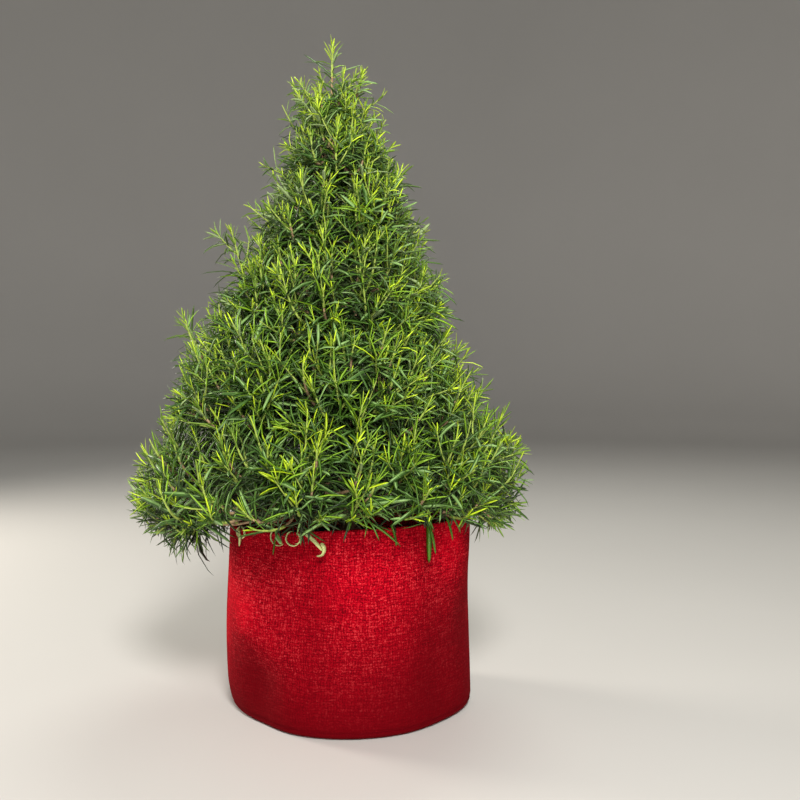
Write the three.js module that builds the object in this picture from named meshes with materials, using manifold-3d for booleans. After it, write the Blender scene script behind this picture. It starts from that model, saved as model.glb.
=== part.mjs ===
// A rosemary plant clipped to a cone, in a round pot covered with woven burlap.
// Millimetres, +Z up. The origin is the centre of the pot's flat underside, the view from -Y is the front.
import * as THREE from "three";
import { mergeVertices } from "three/addons/utils/BufferGeometryUtils.js";
import Module from "manifold-3d";

const wasm = await Module();
wasm.setup();

// Driving dimensions
const GAP = 0.3; // clearance between pieces that touch
const POT = { rimRadius: 83.4, bellyRadius: 84.6, height: 133, wall: 2.6, floor: 3.2, footCorner: 5 };
const CLOTH = { wave: 0.9, rimDip: 5, dipTurn: THREE.MathUtils.degToRad(215), clear: 2 };
const SOIL = { top: 112, crown: 115, flatRadius: 14 };
const CROWN = { axisX: -12, beltHeight: 150, beltRadius: 140, tipHeight: 467, taper: 0.85, tuck: 0.35 };
const SKIRT = { innerHeight: 137, overhangRadius: 90, rimRoom: 10, fall: 1.6, frontFall: 0.2, lowest: 99 };
const SKIRT_SIDES = { from: 0.6, to: 0.88, right: 0.5 }; // cosines of the turns between which it starts to hang
// low, and how much of that drop it has on the right
const TRUNK = { tipHeight: 404, footRadius: 6.4, tipRadius: 1.7, fall: 0.9, sides: 9, steps: 14 };
const ROOT_FLARE = { width: 3.2, height: 9, lobe: 0.14, lobes: 3, levelled: 1.5 };
const BOUGH = { rootShare: 0.44, tipShare: 0.7, reach: 0.28, bend: 0.45, sag: 1.5, sides: 6, steps: 4 };
const BOUGH_END = { step: 0.01, clear: 0.45, flatness: 1e-4, passes: 30 }; // how its root end meets the trunk
const BOUGH_ROOTS = { stagger: 16, scatter: 2 }; // neighbouring boughs leave the trunk at different heights
const CORE = { inner: 0.33, outer: 0.74, spread: 0.94, squareness: 0.62, lumps: 0.05 };
const STEM = { inner: 1.5, outer: 1.1, reach: 0.68, sides: 5, firstTwig: 0.35, lastTwig: 0.95 };
const TWIG = { rootRadius: 1.7, tipRadius: 0.9, free: 38, bare: 44, needles: 5, overlap: 4 };
const TWIG_FACETS = { sides: 3, steps: 3 };
const NEEDLE = { length: 32, width: 6, thickness: 2.2, belly: 0.42, arch: 1.4, sunk: 1.5 };
const NEEDLE_LENGTHS = { shortest: 0.8, longest: 1.12 };
const NEEDLE_ANGLES = { first: 0.95, last: 0.5, tip: 0.12 }; // radians between a needle and its twig
const SPREAD = { across: 0.7548777, level: 0.5698403, width: 0.84, lowest: 0.07, range: 0.88 };
const OUTLINE = { share: 0.91, uneven: 0.06, strayEvery: 3, strayShare: 0.07, round: 6 };
const PROUD = { needle: 11, longShoot: 22 }; // how far a needle's tip may lie outside the crown's outline
const DROOP = { front: 0.2, lowest: -2.6, highest: 1.2, until: 0.5 }; // how the skirt's tips point, by level
const LIFT = { lowest: 0.75, highest: 1.5 }; // and those of the tiers above it
const LEADER = { shoots: 5, reach: 24, drop: 44, stagger: 4, rise: 14, turn: 0.15 };
const LEADER_CORE = { radius: 12, halfHeight: 17, centre: 423 };
const RISE = 0.6; // slope of the surfaces between one tier of foliage and the next
const GOLDEN_TURN = Math.PI * (3 - Math.sqrt(5));

// Each tier of foliage: its upper surface where that meets the crown's axis, how many masses stand round
// it, where its boughs leave the trunk, and how many twigs each mass carries.
const TIERS = [
  { name: "skirt", top: 134, masses: 6, turn: 0.3, boughHeight: 121, twigs: 7 },
  { name: "lower", top: 203, masses: 6, turn: 0.8, boughHeight: 150, twigs: 6 },
  { name: "middle", top: 281, masses: 4, turn: 0.2, boughHeight: 212, twigs: 6 },
  { name: "upper", top: 345, masses: 4, turn: 1.0, boughHeight: 284, twigs: 4 },
  { name: "crown", top: 394, masses: 3, turn: 0.5, boughHeight: 344, twigs: 4 },
];

// One shoot of each tier, on the left, stands out further than the rest.
const LONG_SHOOTS = {
  skirt: { order: 3, across: -0.35, level: 0.36, out: 0.97 },
  lower: { order: 2, across: 0.35, level: 0.92, out: 1.08 },
  middle: { order: 2, across: -0.3, level: 0.84, out: 1.03 },
  upper: { order: 1, across: 0.6, level: 0.4, out: 0.86 },
  crown: { order: 1, across: -0.5, level: 0.5, out: 1 },
};

const SPINE = new THREE.CatmullRomCurve3([
  new THREE.Vector3(0, 0, SOIL.crown + GAP),
  new THREE.Vector3(-5, 2, 165),
  new THREE.Vector3(-11, -2, 240),
  new THREE.Vector3(-13, 1, 325),
  new THREE.Vector3(-13, 0, TRUNK.tipHeight),
]);

const TRUNK_CHORDS = SPINE.getPoints(TRUNK.steps).flatMap((point, i, all) => {
  return i === 0 ? [] : [new THREE.Line3(all[i - 1], point)];
});

const { lerp, smoothstep, clamp } = THREE.MathUtils;

// The seeded rule: one repeatable value from 0 to 1 for each pair of numbers.
function chance(a, b) {
  const s = Math.sin(a * 12.9898 + b * 78.233) * 43758.5453;
  return s - Math.floor(s);
}

function around(turn, radius, z, centreX = 0) {
  return new THREE.Vector3(centreX + radius * Math.cos(turn), radius * Math.sin(turn), z);
}

// Solids and meshes
function solidFrom(geometry) {
  const bare = geometry.clone();
  bare.deleteAttribute("normal");
  bare.deleteAttribute("uv");
  const merged = mergeVertices(bare, 1e-4);
  const index = merged.index.array;
  const kept = [];
  for (let i = 0; i < index.length; i += 3) {
    const [a, b, c] = [index[i], index[i + 1], index[i + 2]];
    if (a !== b && b !== c && c !== a) kept.push(a, b, c);
  }
  const mesh = new wasm.Mesh({
    numProp: 3,
    vertProperties: merged.attributes.position.array,
    triVerts: new Uint32Array(kept),
  });
  return new wasm.Manifold(mesh);
}

function meshFrom(solid, name, material) {
  const made = solid.getMesh();
  const geometry = new THREE.BufferGeometry();
  geometry.setAttribute("position", new THREE.BufferAttribute(made.vertProperties, 3));
  geometry.setIndex(new THREE.BufferAttribute(made.triVerts, 1));
  geometry.computeVertexNormals();
  const mesh = new THREE.Mesh(geometry, material);
  mesh.name = name;
  return mesh;
}

// Drops any scrap or sealed hollow that cutting and joining leave behind.
function largestBody(solid) {
  return solid.decompose().reduce((largest, next) => (next.volume() > largest.volume() ? next : largest));
}

function joined(solids) {
  return largestBody(solids.reduce((whole, next) => whole.add(next)));
}

function moveVertices(geometry, place) {
  const position = geometry.attributes.position;
  const point = new THREE.Vector3();
  for (let i = 0; i < position.count; i += 1) {
    point.fromBufferAttribute(position, i);
    place(point);
    position.setXYZ(i, point.x, point.y, point.z);
  }
  return geometry;
}

// A limb: a closed cylinder drawn along a curve, with its radius given by share and turn.
function limbGeometry(curve, radiusAt, sides, steps) {
  const side = new THREE.Vector3();
  const over = new THREE.Vector3();
  return moveVertices(new THREE.CylinderGeometry(1, 1, 1, sides, steps), (point) => {
    const share = clamp(point.y + 0.5, 0, 1);
    const along = curve.getTangent(share);
    const aside = Math.abs(along.z) > 0.9 ? new THREE.Vector3(1, 0, 0) : new THREE.Vector3(0, 0, 1);
    side.crossVectors(along, aside).normalize();
    over.crossVectors(side, along);
    const flat = Math.hypot(point.x, point.z);
    const radius = flat * radiusAt(share, Math.atan2(point.z, point.x));
    const [x, z] = flat > 0 ? [point.x / flat, point.z / flat] : [0, 0];
    point.copy(curve.getPoint(share)).addScaledVector(side, x * radius).addScaledVector(over, z * radius);
  });
}

// A needle: a three-sided spindle whose middle is arched, with its flat side below.
function needleGeometry(root, tip, length) {
  const along = tip.clone().sub(root).normalize();
  const up = Math.abs(along.z) > 0.95 ? new THREE.Vector3(0, -1, 0) : new THREE.Vector3(0, 0, 1);
  const side = new THREE.Vector3().crossVectors(along, up).normalize();
  const over = new THREE.Vector3().crossVectors(side, along);
  const size = length / NEEDLE.length;
  const middle = root.clone().lerp(tip, NEEDLE.belly).addScaledVector(over, NEEDLE.arch);
  const left = middle.clone().addScaledVector(side, (-NEEDLE.width / 2) * size);
  const right = middle.clone().addScaledVector(side, (NEEDLE.width / 2) * size);
  const ridge = middle.clone().addScaledVector(over, NEEDLE.thickness * size);
  const geometry = new THREE.BufferGeometry().setFromPoints([root, left, right, ridge, tip]);
  return geometry.setIndex([0, 1, 2, 0, 2, 3, 0, 3, 1, 4, 2, 1, 4, 3, 2, 4, 1, 3]);
}

// Pot and potting mix
const WALL_LEVELS = [POT.footCorner, 50, 90, SOIL.top, 126];
const POT_SEGMENTS = 36;

function potRadius(z) {
  return lerp(POT.bellyRadius, POT.rimRadius, smoothstep(z, 20, POT.height));
}

// The slack of the burlap: slow waves round the wall, and a rim that dips at the front left.
function slacken(point) {
  const turn = Math.atan2(point.y, point.x);
  const radius = Math.hypot(point.x, point.y);
  const high = smoothstep(point.z, 8, 60);
  const far = smoothstep(radius, 60, 75);
  const wave = Math.sin(2 * turn + 0.6) + 0.6 * Math.sin(5 * turn + 1.9) + 0.35 * Math.sin(9 * turn);
  const grown = 1 + (CLOTH.wave * wave * high * far) / Math.max(radius, 1);
  const dip = Math.max(0, Math.cos(turn - CLOTH.dipTurn)) ** 2;
  point.x *= grown;
  point.y *= grown;
  point.z -= CLOTH.rimDip * dip * smoothstep(point.z, SOIL.top, POT.height);
}

function turned(profile, segments) {
  const geometry = new THREE.LatheGeometry(profile.map(([r, z]) => new THREE.Vector2(r, z)), segments);
  geometry.rotateX(Math.PI / 2);
  return solidFrom(moveVertices(geometry, slacken));
}

function potSolid() {
  const foot = POT.footCorner;
  const hem = POT.wall / 2;
  const outer = WALL_LEVELS.map((z) => [potRadius(z), z]);
  const inner = WALL_LEVELS.map((z) => [potRadius(z) - POT.wall, z]).reverse();
  const footRadius = potRadius(0) - foot;
  return turned(
    [
      [0, 0],
      [footRadius, 0],
      [footRadius + foot * Math.SQRT1_2, foot * (1 - Math.SQRT1_2)],
      ...outer,
      [POT.rimRadius - hem * 0.4, POT.height - hem * 0.5],
      [POT.rimRadius - hem, POT.height],
      [POT.rimRadius - hem * 1.6, POT.height - hem * 0.5],
      ...inner,
      [potRadius(0) - POT.wall - foot * 0.6, POT.floor],
      [0, POT.floor],
    ],
    POT_SEGMENTS,
  );
}

function soilSolid() {
  const room = POT.wall + GAP + 0.3;
  const filled = WALL_LEVELS.filter((z) => z <= SOIL.top).map((z) => [potRadius(z) - room, z]);
  return turned(
    [
      [0, POT.floor + GAP],
      [potRadius(0) - room - POT.footCorner, POT.floor + GAP],
      ...filled,
      [SOIL.flatRadius + 30, SOIL.crown - 1.2],
      [SOIL.flatRadius, SOIL.crown],
      [0, SOIL.crown],
    ],
    POT_SEGMENTS,
  );
}

// Trunk
function stemRadiusAt(share) {
  return lerp(TRUNK.footRadius, TRUNK.tipRadius, share ** TRUNK.fall);
}

function trunkRadius(share, turn) {
  const rise = share * (TRUNK.tipHeight - SOIL.crown);
  const flare = Math.exp(-rise / ROOT_FLARE.height);
  const lobed = 1 + ROOT_FLARE.lobe * flare * Math.sin(ROOT_FLARE.lobes * turn);
  return stemRadiusAt(share) * lobed + ROOT_FLARE.width * flare;
}

function trunkShare(z) {
  return clamp((z - SOIL.crown) / (TRUNK.tipHeight - SOIL.crown), 0, 1);
}

function trunkSolid() {
  const limb = limbGeometry(SPINE, trunkRadius, TRUNK.sides, TRUNK.steps);
  const ground = SOIL.crown + GAP;
  const levelled = moveVertices(limb, (point) => {
    if (point.z < ground + ROOT_FLARE.levelled) point.z = ground;
  });
  return solidFrom(levelled);
}

// How far a point lies outside the trunk, taken at its root flare's widest.
function outsideTrunk(point) {
  const near = new THREE.Vector3();
  const widest = Math.PI / (2 * ROOT_FLARE.lobes);
  const gaps = TRUNK_CHORDS.map((chord) => {
    chord.closestPointToPoint(point, true, near);
    return near.distanceTo(point) - trunkRadius(trunkShare(near.z), widest);
  });
  return Math.min(...gaps);
}

// The chord through a curve's steps, which is where the faceted limb really lies.
function chordPoint(curve, steps, share) {
  const step = Math.min(Math.floor(share * steps), steps - 1);
  const [from, to] = [curve.getPoint(step / steps), curve.getPoint((step + 1) / steps)];
  return from.lerp(to, share * steps - step);
}

// The crown's own shape: its radius at a height, and each tier's lower and upper surfaces.
function crownRadius(z) {
  if (z < CROWN.beltHeight) return CROWN.beltRadius - CROWN.tuck * (CROWN.beltHeight - z);
  const share = clamp((CROWN.tipHeight - z) / (CROWN.tipHeight - CROWN.beltHeight), 0, 1);
  return CROWN.beltRadius * share ** CROWN.taper;
}

// From 0 at the crown's front and back to 1 on its left, where the skirt hangs lowest.
function sideways(turn) {
  const share = smoothstep(Math.abs(Math.cos(turn)), SKIRT_SIDES.from, SKIRT_SIDES.to);
  return Math.cos(turn) > 0 ? share * SKIRT_SIDES.right : share;
}

function surfaceUnder(tier, radius, turn) {
  if (tier > 0) return TIERS[tier - 1].top + RISE * radius;
  const past = Math.max(0, radius - SKIRT.overhangRadius);
  const fall = lerp(SKIRT.frontFall, SKIRT.fall, sideways(turn));
  return Math.max(SKIRT.lowest, SKIRT.innerHeight - fall * past);
}

function surfaceOver(tier, radius) {
  return tier < TIERS.length ? TIERS[tier].top + RISE * radius : CROWN.tipHeight;
}

// A mass's own places: across from -1 to 1, level from 0 to 1, and out from the axis, 1 at the outline.
// Height and radius depend on each other, so both close in on their values.
function placeIn(mass, across, level, out) {
  const [firstRadius, passes, step] = [40, 12, 0.7];
  const turn = mass.turn + across * mass.halfTurn;
  let radius = firstRadius;
  let z = 0;
  for (let pass = 0; pass < passes; pass += 1) {
    z = lerp(surfaceUnder(mass.tier, radius, turn), surfaceOver(mass.tier, radius), level);
    radius = lerp(radius, out * crownRadius(z), step);
  }
  return around(turn, radius, z, CROWN.axisX);
}

// Whether a point lies in its mass's space, and clear of the pot, with some room to spare.
function keepsToSpace(mass, point, room, proud) {
  const dx = point.x - CROWN.axisX;
  const radius = Math.hypot(dx, point.y);
  const turn = Math.atan2(point.y, dx);
  const off = Math.abs(Math.atan2(Math.sin(turn - mass.turn), Math.cos(turn - mass.turn)));
  if (mass.halfTurn < Math.PI && radius * Math.sin(Math.max(mass.halfTurn - off, 0)) < room) return false;
  if (point.z < surfaceUnder(mass.tier, radius, turn) + room) return false;
  if (point.z > surfaceOver(mass.tier, radius) - (mass.tier < TIERS.length ? room : 0)) return false;
  if (radius > crownRadius(point.z - OUTLINE.round) + proud) return false;
  const overPot = Math.hypot(point.x, point.y) < POT.bellyRadius + CLOTH.clear + room;
  return !(overPot && point.z < POT.height + CLOTH.clear + room);
}

function clearOfLimbs(point, limbs, room) {
  return limbs.every((limb) => {
    const near = limb.line.closestPointToPoint(point, true, new THREE.Vector3());
    return near.distanceTo(point) > limb.radius + room;
  });
}

// Boughs
function boughLimb(mass) {
  const tier = TIERS[mass.tier];
  const seed = mass.tier * 10 + mass.order;
  const raised = BOUGH_ROOTS.stagger * (mass.order % 2) + BOUGH_ROOTS.scatter * chance(seed, 1);
  const root = SPINE.getPoint(trunkShare(tier.boughHeight + raised));
  const tip = placeIn(mass, 0, 0.5, BOUGH.reach);
  const along = placeIn(mass, 0, 0.5, STEM.reach).sub(tip).normalize();
  const bend = tip.clone().addScaledVector(along, -BOUGH.bend * tip.distanceTo(root));
  bend.z -= BOUGH.sag;
  const rootRadius = stemRadiusAt(trunkShare(root.z)) * BOUGH.rootShare;
  const tipRadius = Math.max(rootRadius * BOUGH.tipShare, STEM.inner);
  return { root, bend, tip, along, rootRadius, tipRadius };
}

// A bough starts where its line comes clear of the trunk, and its root end is hollowed to the trunk's round.
function boughSolid(limb) {
  const whole = new THREE.QuadraticBezierCurve3(limb.root, limb.bend, limb.tip);
  let from = 0;
  while (outsideTrunk(whole.getPoint(from)) < GAP) from += BOUGH_END.step;
  const curve = new THREE.QuadraticBezierCurve3(
    whole.getPoint(from),
    limb.bend.clone().lerp(limb.tip, from),
    limb.tip,
  );
  const along = curve.getTangent(0);
  const radiusAt = (share) => lerp(limb.rootRadius, limb.tipRadius, share);
  const geometry = limbGeometry(curve, radiusAt, BOUGH.sides, BOUGH.steps);
  const coped = moveVertices(geometry, (point) => {
    if (Math.abs(point.clone().sub(curve.v0).dot(along)) > BOUGH_END.flatness) return;
    for (let pass = 0; pass < BOUGH_END.passes; pass += 1) {
      point.addScaledVector(along, BOUGH_END.clear - outsideTrunk(point));
    }
  });
  return solidFrom(coped);
}

// Foliage
function coreGeometry(mass) {
  const ball = new THREE.IcosahedronGeometry(1, 1);
  const squared = (value) => Math.sign(value) * Math.abs(value) ** CORE.squareness;
  return moveVertices(ball, (point) => {
    const level = 0.5 + 0.5 * CORE.spread * squared(point.z);
    const out = lerp(CORE.inner, CORE.outer, 0.5 + 0.5 * squared(point.x));
    const lump = 1 + CORE.lumps * (chance(point.x * 9 + mass.order, point.y * 7 + mass.tier) - 0.5);
    point.copy(placeIn(mass, CORE.spread * squared(point.y), level, out * lump));
    const overhang = Math.max(0, Math.hypot(point.x, point.y) - POT.bellyRadius - SKIRT.rimRoom);
    point.z = Math.max(point.z, SKIRT.innerHeight - SKIRT.fall * overhang);
  });
}

function leaderCore() {
  const ball = new THREE.IcosahedronGeometry(1, 1);
  ball.scale(LEADER_CORE.radius, LEADER_CORE.radius, LEADER_CORE.halfHeight);
  return ball.translate(CROWN.axisX, 0, LEADER_CORE.centre);
}

function tipDirection(mass, tip, level) {
  const outward = new THREE.Vector3(tip.x - CROWN.axisX, tip.y, 0).normalize();
  const lowest = lerp(DROOP.front, DROOP.lowest, sideways(Math.atan2(outward.y, outward.x)));
  const droop = lerp(lowest, DROOP.highest, smoothstep(level, 0, DROOP.until));
  return outward.setZ(mass.tier > 0 ? lerp(LIFT.lowest, LIFT.highest, level) : droop).normalize();
}

// A side shoot of the leader: out, and then straight up to a tip just under the top.
function leaderShoot(mass, i) {
  const turn = LEADER.turn + (2 * Math.PI * i) / LEADER.shoots;
  const height = CROWN.tipHeight - LEADER.drop - LEADER.stagger * (i % 3);
  const tip = around(turn, LEADER.reach, height, CROWN.axisX);
  const bend = around(turn, LEADER.reach * 0.8, height - LEADER.rise, CROWN.axisX);
  const root = mass.stem.at(0.12 + 0.05 * i, new THREE.Vector3());
  return new THREE.QuadraticBezierCurve3(root, bend, tip);
}

function seedOf(mass) {
  return 100 * mass.tier + 10 * mass.order;
}

// Where twig i of a mass ends: an even spread over the mass's face, with some standing out as strays.
function twigPlace(mass, i) {
  const { name, twigs } = TIERS[mass.tier];
  if (i === twigs) return LONG_SHOOTS[name];
  const place = i + OUTLINE.strayEvery * mass.order;
  const stray = i % OUTLINE.strayEvery === OUTLINE.strayEvery - 1 ? OUTLINE.strayShare : 0;
  return {
    across: SPREAD.width * (2 * ((0.5 + place * SPREAD.across) % 1) - 1),
    level: SPREAD.lowest + SPREAD.range * ((0.5 + place * SPREAD.level) % 1),
    out: OUTLINE.share + stray + OUTLINE.uneven * (chance(seedOf(mass), i) - 0.5),
  };
}

function twigCurve(mass, i) {
  const { across, level, out } = twigPlace(mass, i);
  const tip = placeIn(mass, across, level, out);
  const toTip = tipDirection(mass, tip, level);
  const bend = tip.clone().addScaledVector(toTip, -TWIG.free);
  const along = lerp(STEM.firstTwig, STEM.lastTwig, chance(seedOf(mass) + 3, i));
  const root = mass.stem.at(along, new THREE.Vector3());
  return new THREE.QuadraticBezierCurve3(root, bend, tip);
}

// The way a needle points: off its twig by one angle, and turned about it by another.
function needleWay(along, open, turn) {
  const side = new THREE.Vector3(-along.y, along.x, 0.01).normalize();
  const over = new THREE.Vector3().crossVectors(side, along);
  return along
    .clone()
    .multiplyScalar(Math.cos(open))
    .addScaledVector(side, Math.cos(turn) * Math.sin(open))
    .addScaledVector(over, Math.sin(turn) * Math.sin(open));
}

function needleFits(mass, root, tip, proud) {
  return [0.25, 0.45, 0.7, 1].every((part) => {
    const room = 2 * GAP + (NEEDLE.width / 2) * (part < 0.7 ? 1 : 1.2 - part);
    const point = root.clone().lerp(tip, part);
    return keepsToSpace(mass, point, room, proud) && clearOfLimbs(point, mass.limbs, room);
  });
}

// Needles stand round the outer stretch of a twig by the golden turn, and the last one carries on its line.
function twigNeedles(mass, curve, i, proud) {
  const made = [];
  const bare = clamp(1 - TWIG.bare / curve.getLength(), 0.2, 0.75);
  for (let k = 0; k < TWIG.needles; k += 1) {
    const last = k === TWIG.needles - 1;
    const share = lerp(bare, 1, (k + 0.3) / TWIG.needles);
    const open = last ? NEEDLE_ANGLES.tip : lerp(NEEDLE_ANGLES.first, NEEDLE_ANGLES.last, k / TWIG.needles);
    const way = needleWay(curve.getTangent(share), open, GOLDEN_TURN * (k + 2 * i) + mass.order);
    const luck = chance(i + 40 * mass.order, k + mass.tier);
    const length = NEEDLE.length * (last ? 1 : lerp(NEEDLE_LENGTHS.shortest, NEEDLE_LENGTHS.longest, luck));
    const root = chordPoint(curve, TWIG_FACETS.steps, last ? 1 : share);
    root.addScaledVector(way, last ? -TWIG.overlap : -NEEDLE.sunk);
    const tip = root.clone().addScaledVector(way, length);
    if (needleFits(mass, root, tip, proud)) made.push(solidFrom(needleGeometry(root, tip, length)));
  }
  return made;
}

function massSolid(mass, curves) {
  const stemCurve = new THREE.LineCurve3(mass.stem.start, mass.stem.end);
  const stemRadius = (share) => lerp(mass.stemRadius, STEM.outer, share);
  const stem = limbGeometry(stemCurve, stemRadius, STEM.sides, 1);
  const pieces = [solidFrom(stem), solidFrom(mass.core)];
  curves.forEach((curve, i) => {
    const free = curve.getPoints(8).slice(2);
    const proud = i === mass.twigs ? PROUD.longShoot : PROUD.needle;
    if (!free.every((point) => keepsToSpace(mass, point, TWIG.rootRadius + GAP, proud))) return;
    const radiusAt = (share) => lerp(TWIG.rootRadius, TWIG.tipRadius, share);
    pieces.push(solidFrom(limbGeometry(curve, radiusAt, TWIG_FACETS.sides, TWIG_FACETS.steps)));
    pieces.push(...twigNeedles(mass, curve, i, proud));
  });
  return joined(pieces);
}

function ringOfMasses(tier) {
  const { masses, turn, twigs } = TIERS[tier];
  return Array.from({ length: masses }, (_, order) => {
    const mass = { tier, order, twigs, turn: turn + (order * 2 * Math.PI) / masses, halfTurn: Math.PI / masses };
    mass.core = coreGeometry(mass);
    mass.bough = boughLimb(mass);
    mass.stemRadius = Math.min(STEM.inner, mass.bough.tipRadius);
    const start = mass.bough.tip.clone().addScaledVector(mass.bough.along, GAP);
    mass.stem = new THREE.Line3(start, placeIn(mass, 0, 0.5, STEM.reach));
    return mass;
  });
}

// The leader: the trunk's own top shoot, with a few side twigs.
function leaderMass() {
  const start = SPINE.getPoint(1).setZ(TRUNK.tipHeight + GAP);
  const end = new THREE.Vector3(CROWN.axisX, 0, CROWN.tipHeight - NEEDLE.length + TWIG.overlap);
  const mass = { tier: TIERS.length, order: 0, turn: 0, halfTurn: Math.PI };
  mass.core = leaderCore();
  mass.stem = new THREE.Line3(start, end);
  mass.stemRadius = STEM.inner;
  mass.limbs = [];
  return mass;
}

// Assembly
const materials = {
  burlap: new THREE.MeshStandardMaterial({ color: 0xb3121f, roughness: 0.95 }),
  soil: new THREE.MeshStandardMaterial({ color: 0x2b1d14, roughness: 1 }),
  bark: new THREE.MeshStandardMaterial({ color: 0x6b5038, roughness: 0.9 }),
  foliage: new THREE.MeshStandardMaterial({ color: 0x4c7a2b, roughness: 0.6, flatShading: true }),
};

function build() {
  const plant = new THREE.Group();
  plant.add(meshFrom(potSolid(), "burlap_pot", materials.burlap));
  plant.add(meshFrom(soilSolid(), "potting_mix", materials.soil));
  plant.add(meshFrom(trunkSolid(), "trunk", materials.bark));

  const masses = TIERS.flatMap((_, tier) => ringOfMasses(tier));
  const trunkLines = TRUNK_CHORDS.map((line) => ({ line, radius: TRUNK.footRadius }));
  const boughLines = masses.map(({ bough }) => ({
    line: new THREE.Line3(bough.bend, bough.tip),
    radius: bough.rootRadius,
  }));
  const limbs = [...trunkLines, ...boughLines];
  for (const mass of masses) {
    const { name, twigs } = TIERS[mass.tier];
    const count = mass.order === LONG_SHOOTS[name].order ? twigs + 1 : twigs;
    const curves = Array.from({ length: count }, (_, i) => twigCurve(mass, i));
    mass.limbs = limbs;
    const label = `${name}_${mass.order + 1}`;
    plant.add(meshFrom(boughSolid(mass.bough), `bough_${label}`, materials.bark));
    plant.add(meshFrom(massSolid(mass, curves), `foliage_${label}`, materials.foliage));
  }
  const leader = leaderMass();
  const shoots = Array.from({ length: LEADER.shoots }, (_, i) => leaderShoot(leader, i));
  shoots.push(new THREE.LineCurve3(leader.stem.start, leader.stem.end));
  plant.add(meshFrom(massSolid(leader, shoots), "foliage_leader", materials.foliage));
  return plant;
}

export default build();
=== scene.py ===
"""The looks of a rosemary plant clipped to a cone, in a round pot covered with woven red burlap.

Blender works in metres, and the plant's growing rule in millimetres, as in the part's own source.
"""

import math
from collections import namedtuple

import bpy
import numpy as np
from bpy.props import FloatProperty, FloatVectorProperty, IntProperty, PointerProperty
from mathutils import Euler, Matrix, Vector, noise


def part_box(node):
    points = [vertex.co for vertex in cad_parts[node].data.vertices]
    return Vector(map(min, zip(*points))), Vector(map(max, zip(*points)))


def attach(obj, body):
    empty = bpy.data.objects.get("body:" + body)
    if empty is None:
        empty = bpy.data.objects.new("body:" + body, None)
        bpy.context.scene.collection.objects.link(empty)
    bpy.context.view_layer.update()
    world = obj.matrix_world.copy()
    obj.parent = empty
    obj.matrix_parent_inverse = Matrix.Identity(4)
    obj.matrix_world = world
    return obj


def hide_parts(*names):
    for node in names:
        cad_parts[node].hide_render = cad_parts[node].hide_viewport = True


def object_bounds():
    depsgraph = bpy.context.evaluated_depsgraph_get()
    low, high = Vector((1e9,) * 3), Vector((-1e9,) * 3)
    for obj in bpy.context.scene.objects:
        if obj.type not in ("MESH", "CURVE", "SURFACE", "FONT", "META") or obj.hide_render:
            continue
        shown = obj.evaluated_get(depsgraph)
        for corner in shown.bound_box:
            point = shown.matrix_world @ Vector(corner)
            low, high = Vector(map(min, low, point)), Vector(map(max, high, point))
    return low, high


bl_info = {
    "name": "Rosemary cone in a burlap pot",
    "version": (1, 0, 0),
    "blender": (4, 5, 0),
    "location": "View3D > Sidebar > Topiary",
    "description": "Dresses the packed frame of a clipped rosemary plant in its pot",
    "category": "Object",
}

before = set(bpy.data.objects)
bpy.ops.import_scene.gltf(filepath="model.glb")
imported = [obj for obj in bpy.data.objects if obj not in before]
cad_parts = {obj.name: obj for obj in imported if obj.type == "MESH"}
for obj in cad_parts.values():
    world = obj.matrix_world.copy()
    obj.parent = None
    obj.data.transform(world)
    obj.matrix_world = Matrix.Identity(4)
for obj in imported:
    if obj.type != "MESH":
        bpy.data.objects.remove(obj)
CAD_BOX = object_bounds()

MM = 0.001
GOLDEN_TURN = math.pi * (3 - math.sqrt(5))
BOUGHS = sorted(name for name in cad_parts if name.startswith("bough_"))
MASSES = sorted(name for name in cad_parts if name.startswith("foliage_"))

# Pot and cloth, in millimetres
POT = {"rim": 83.4, "belly": 84.6, "height": 133.0, "wall": 2.6, "floor": 3.2, "foot": 5.0}
CLOTH = {"wave": 0.9, "rim_dip": 5.0, "dip_turn": math.radians(215)}
SOIL = {"top": 112.0, "edge_drop": 3.0, "radius": 77.0}

# The crown's shape and the rule that it grows by, in millimetres and radians
AXIS_X, BELT_HEIGHT, BELT_RADIUS, TIP_HEIGHT = -12.0, 150.0, 140.0, 467.0
TAPER, TUCK, RISE = 0.85, 0.35, 0.6
SKIRT = {"inner": 137.0, "overhang": 90.0, "fall": 1.6, "front_fall": 0.2, "lowest": 99.0}
SKIRT_SIDES = {"from": 0.6, "to": 0.88, "right": 0.5}
TRUNK = {"foot": 115.0, "tip": 404.0, "foot_radius": 6.4, "tip_radius": 1.7, "fall": 0.9, "ground": 115.3}
FLARE = {"width": 3.2, "height": 9.0, "lobe": 0.14, "lobes": 3}
BOUGH = {"root_share": 0.44, "tip_share": 0.7, "reach": 0.28, "bend": 0.45, "sag": 1.5, "thinnest": 1.5}
BOUGH_ROOTS = {"stagger": 16.0, "scatter": 2.0}
STEM = {"inner": 1.5, "outer": 1.1, "reach": 0.68, "first": 0.35, "last": 0.95}
SPREAD = {"across": 0.7548777, "level": 0.5698403, "width": 0.98, "lowest": 0.04, "range": 0.94}
OUTLINE = {"share": 0.91, "uneven": 0.07, "stray_every": 3, "stray_share": 0.07, "round": 6.0}
DROOP = {"front": 0.2, "lowest": -2.6, "highest": 1.2, "until": 0.5}
LIFT = {"lowest": 0.75, "highest": 1.5, "by_tier": (1.4, 1.6, 2.4, 3.4, 5.0), "front": 2.0, "long_shoot": 4.0}
INSET = (3.0, 5.0, 9.0, 9.0, 6.0)
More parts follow.
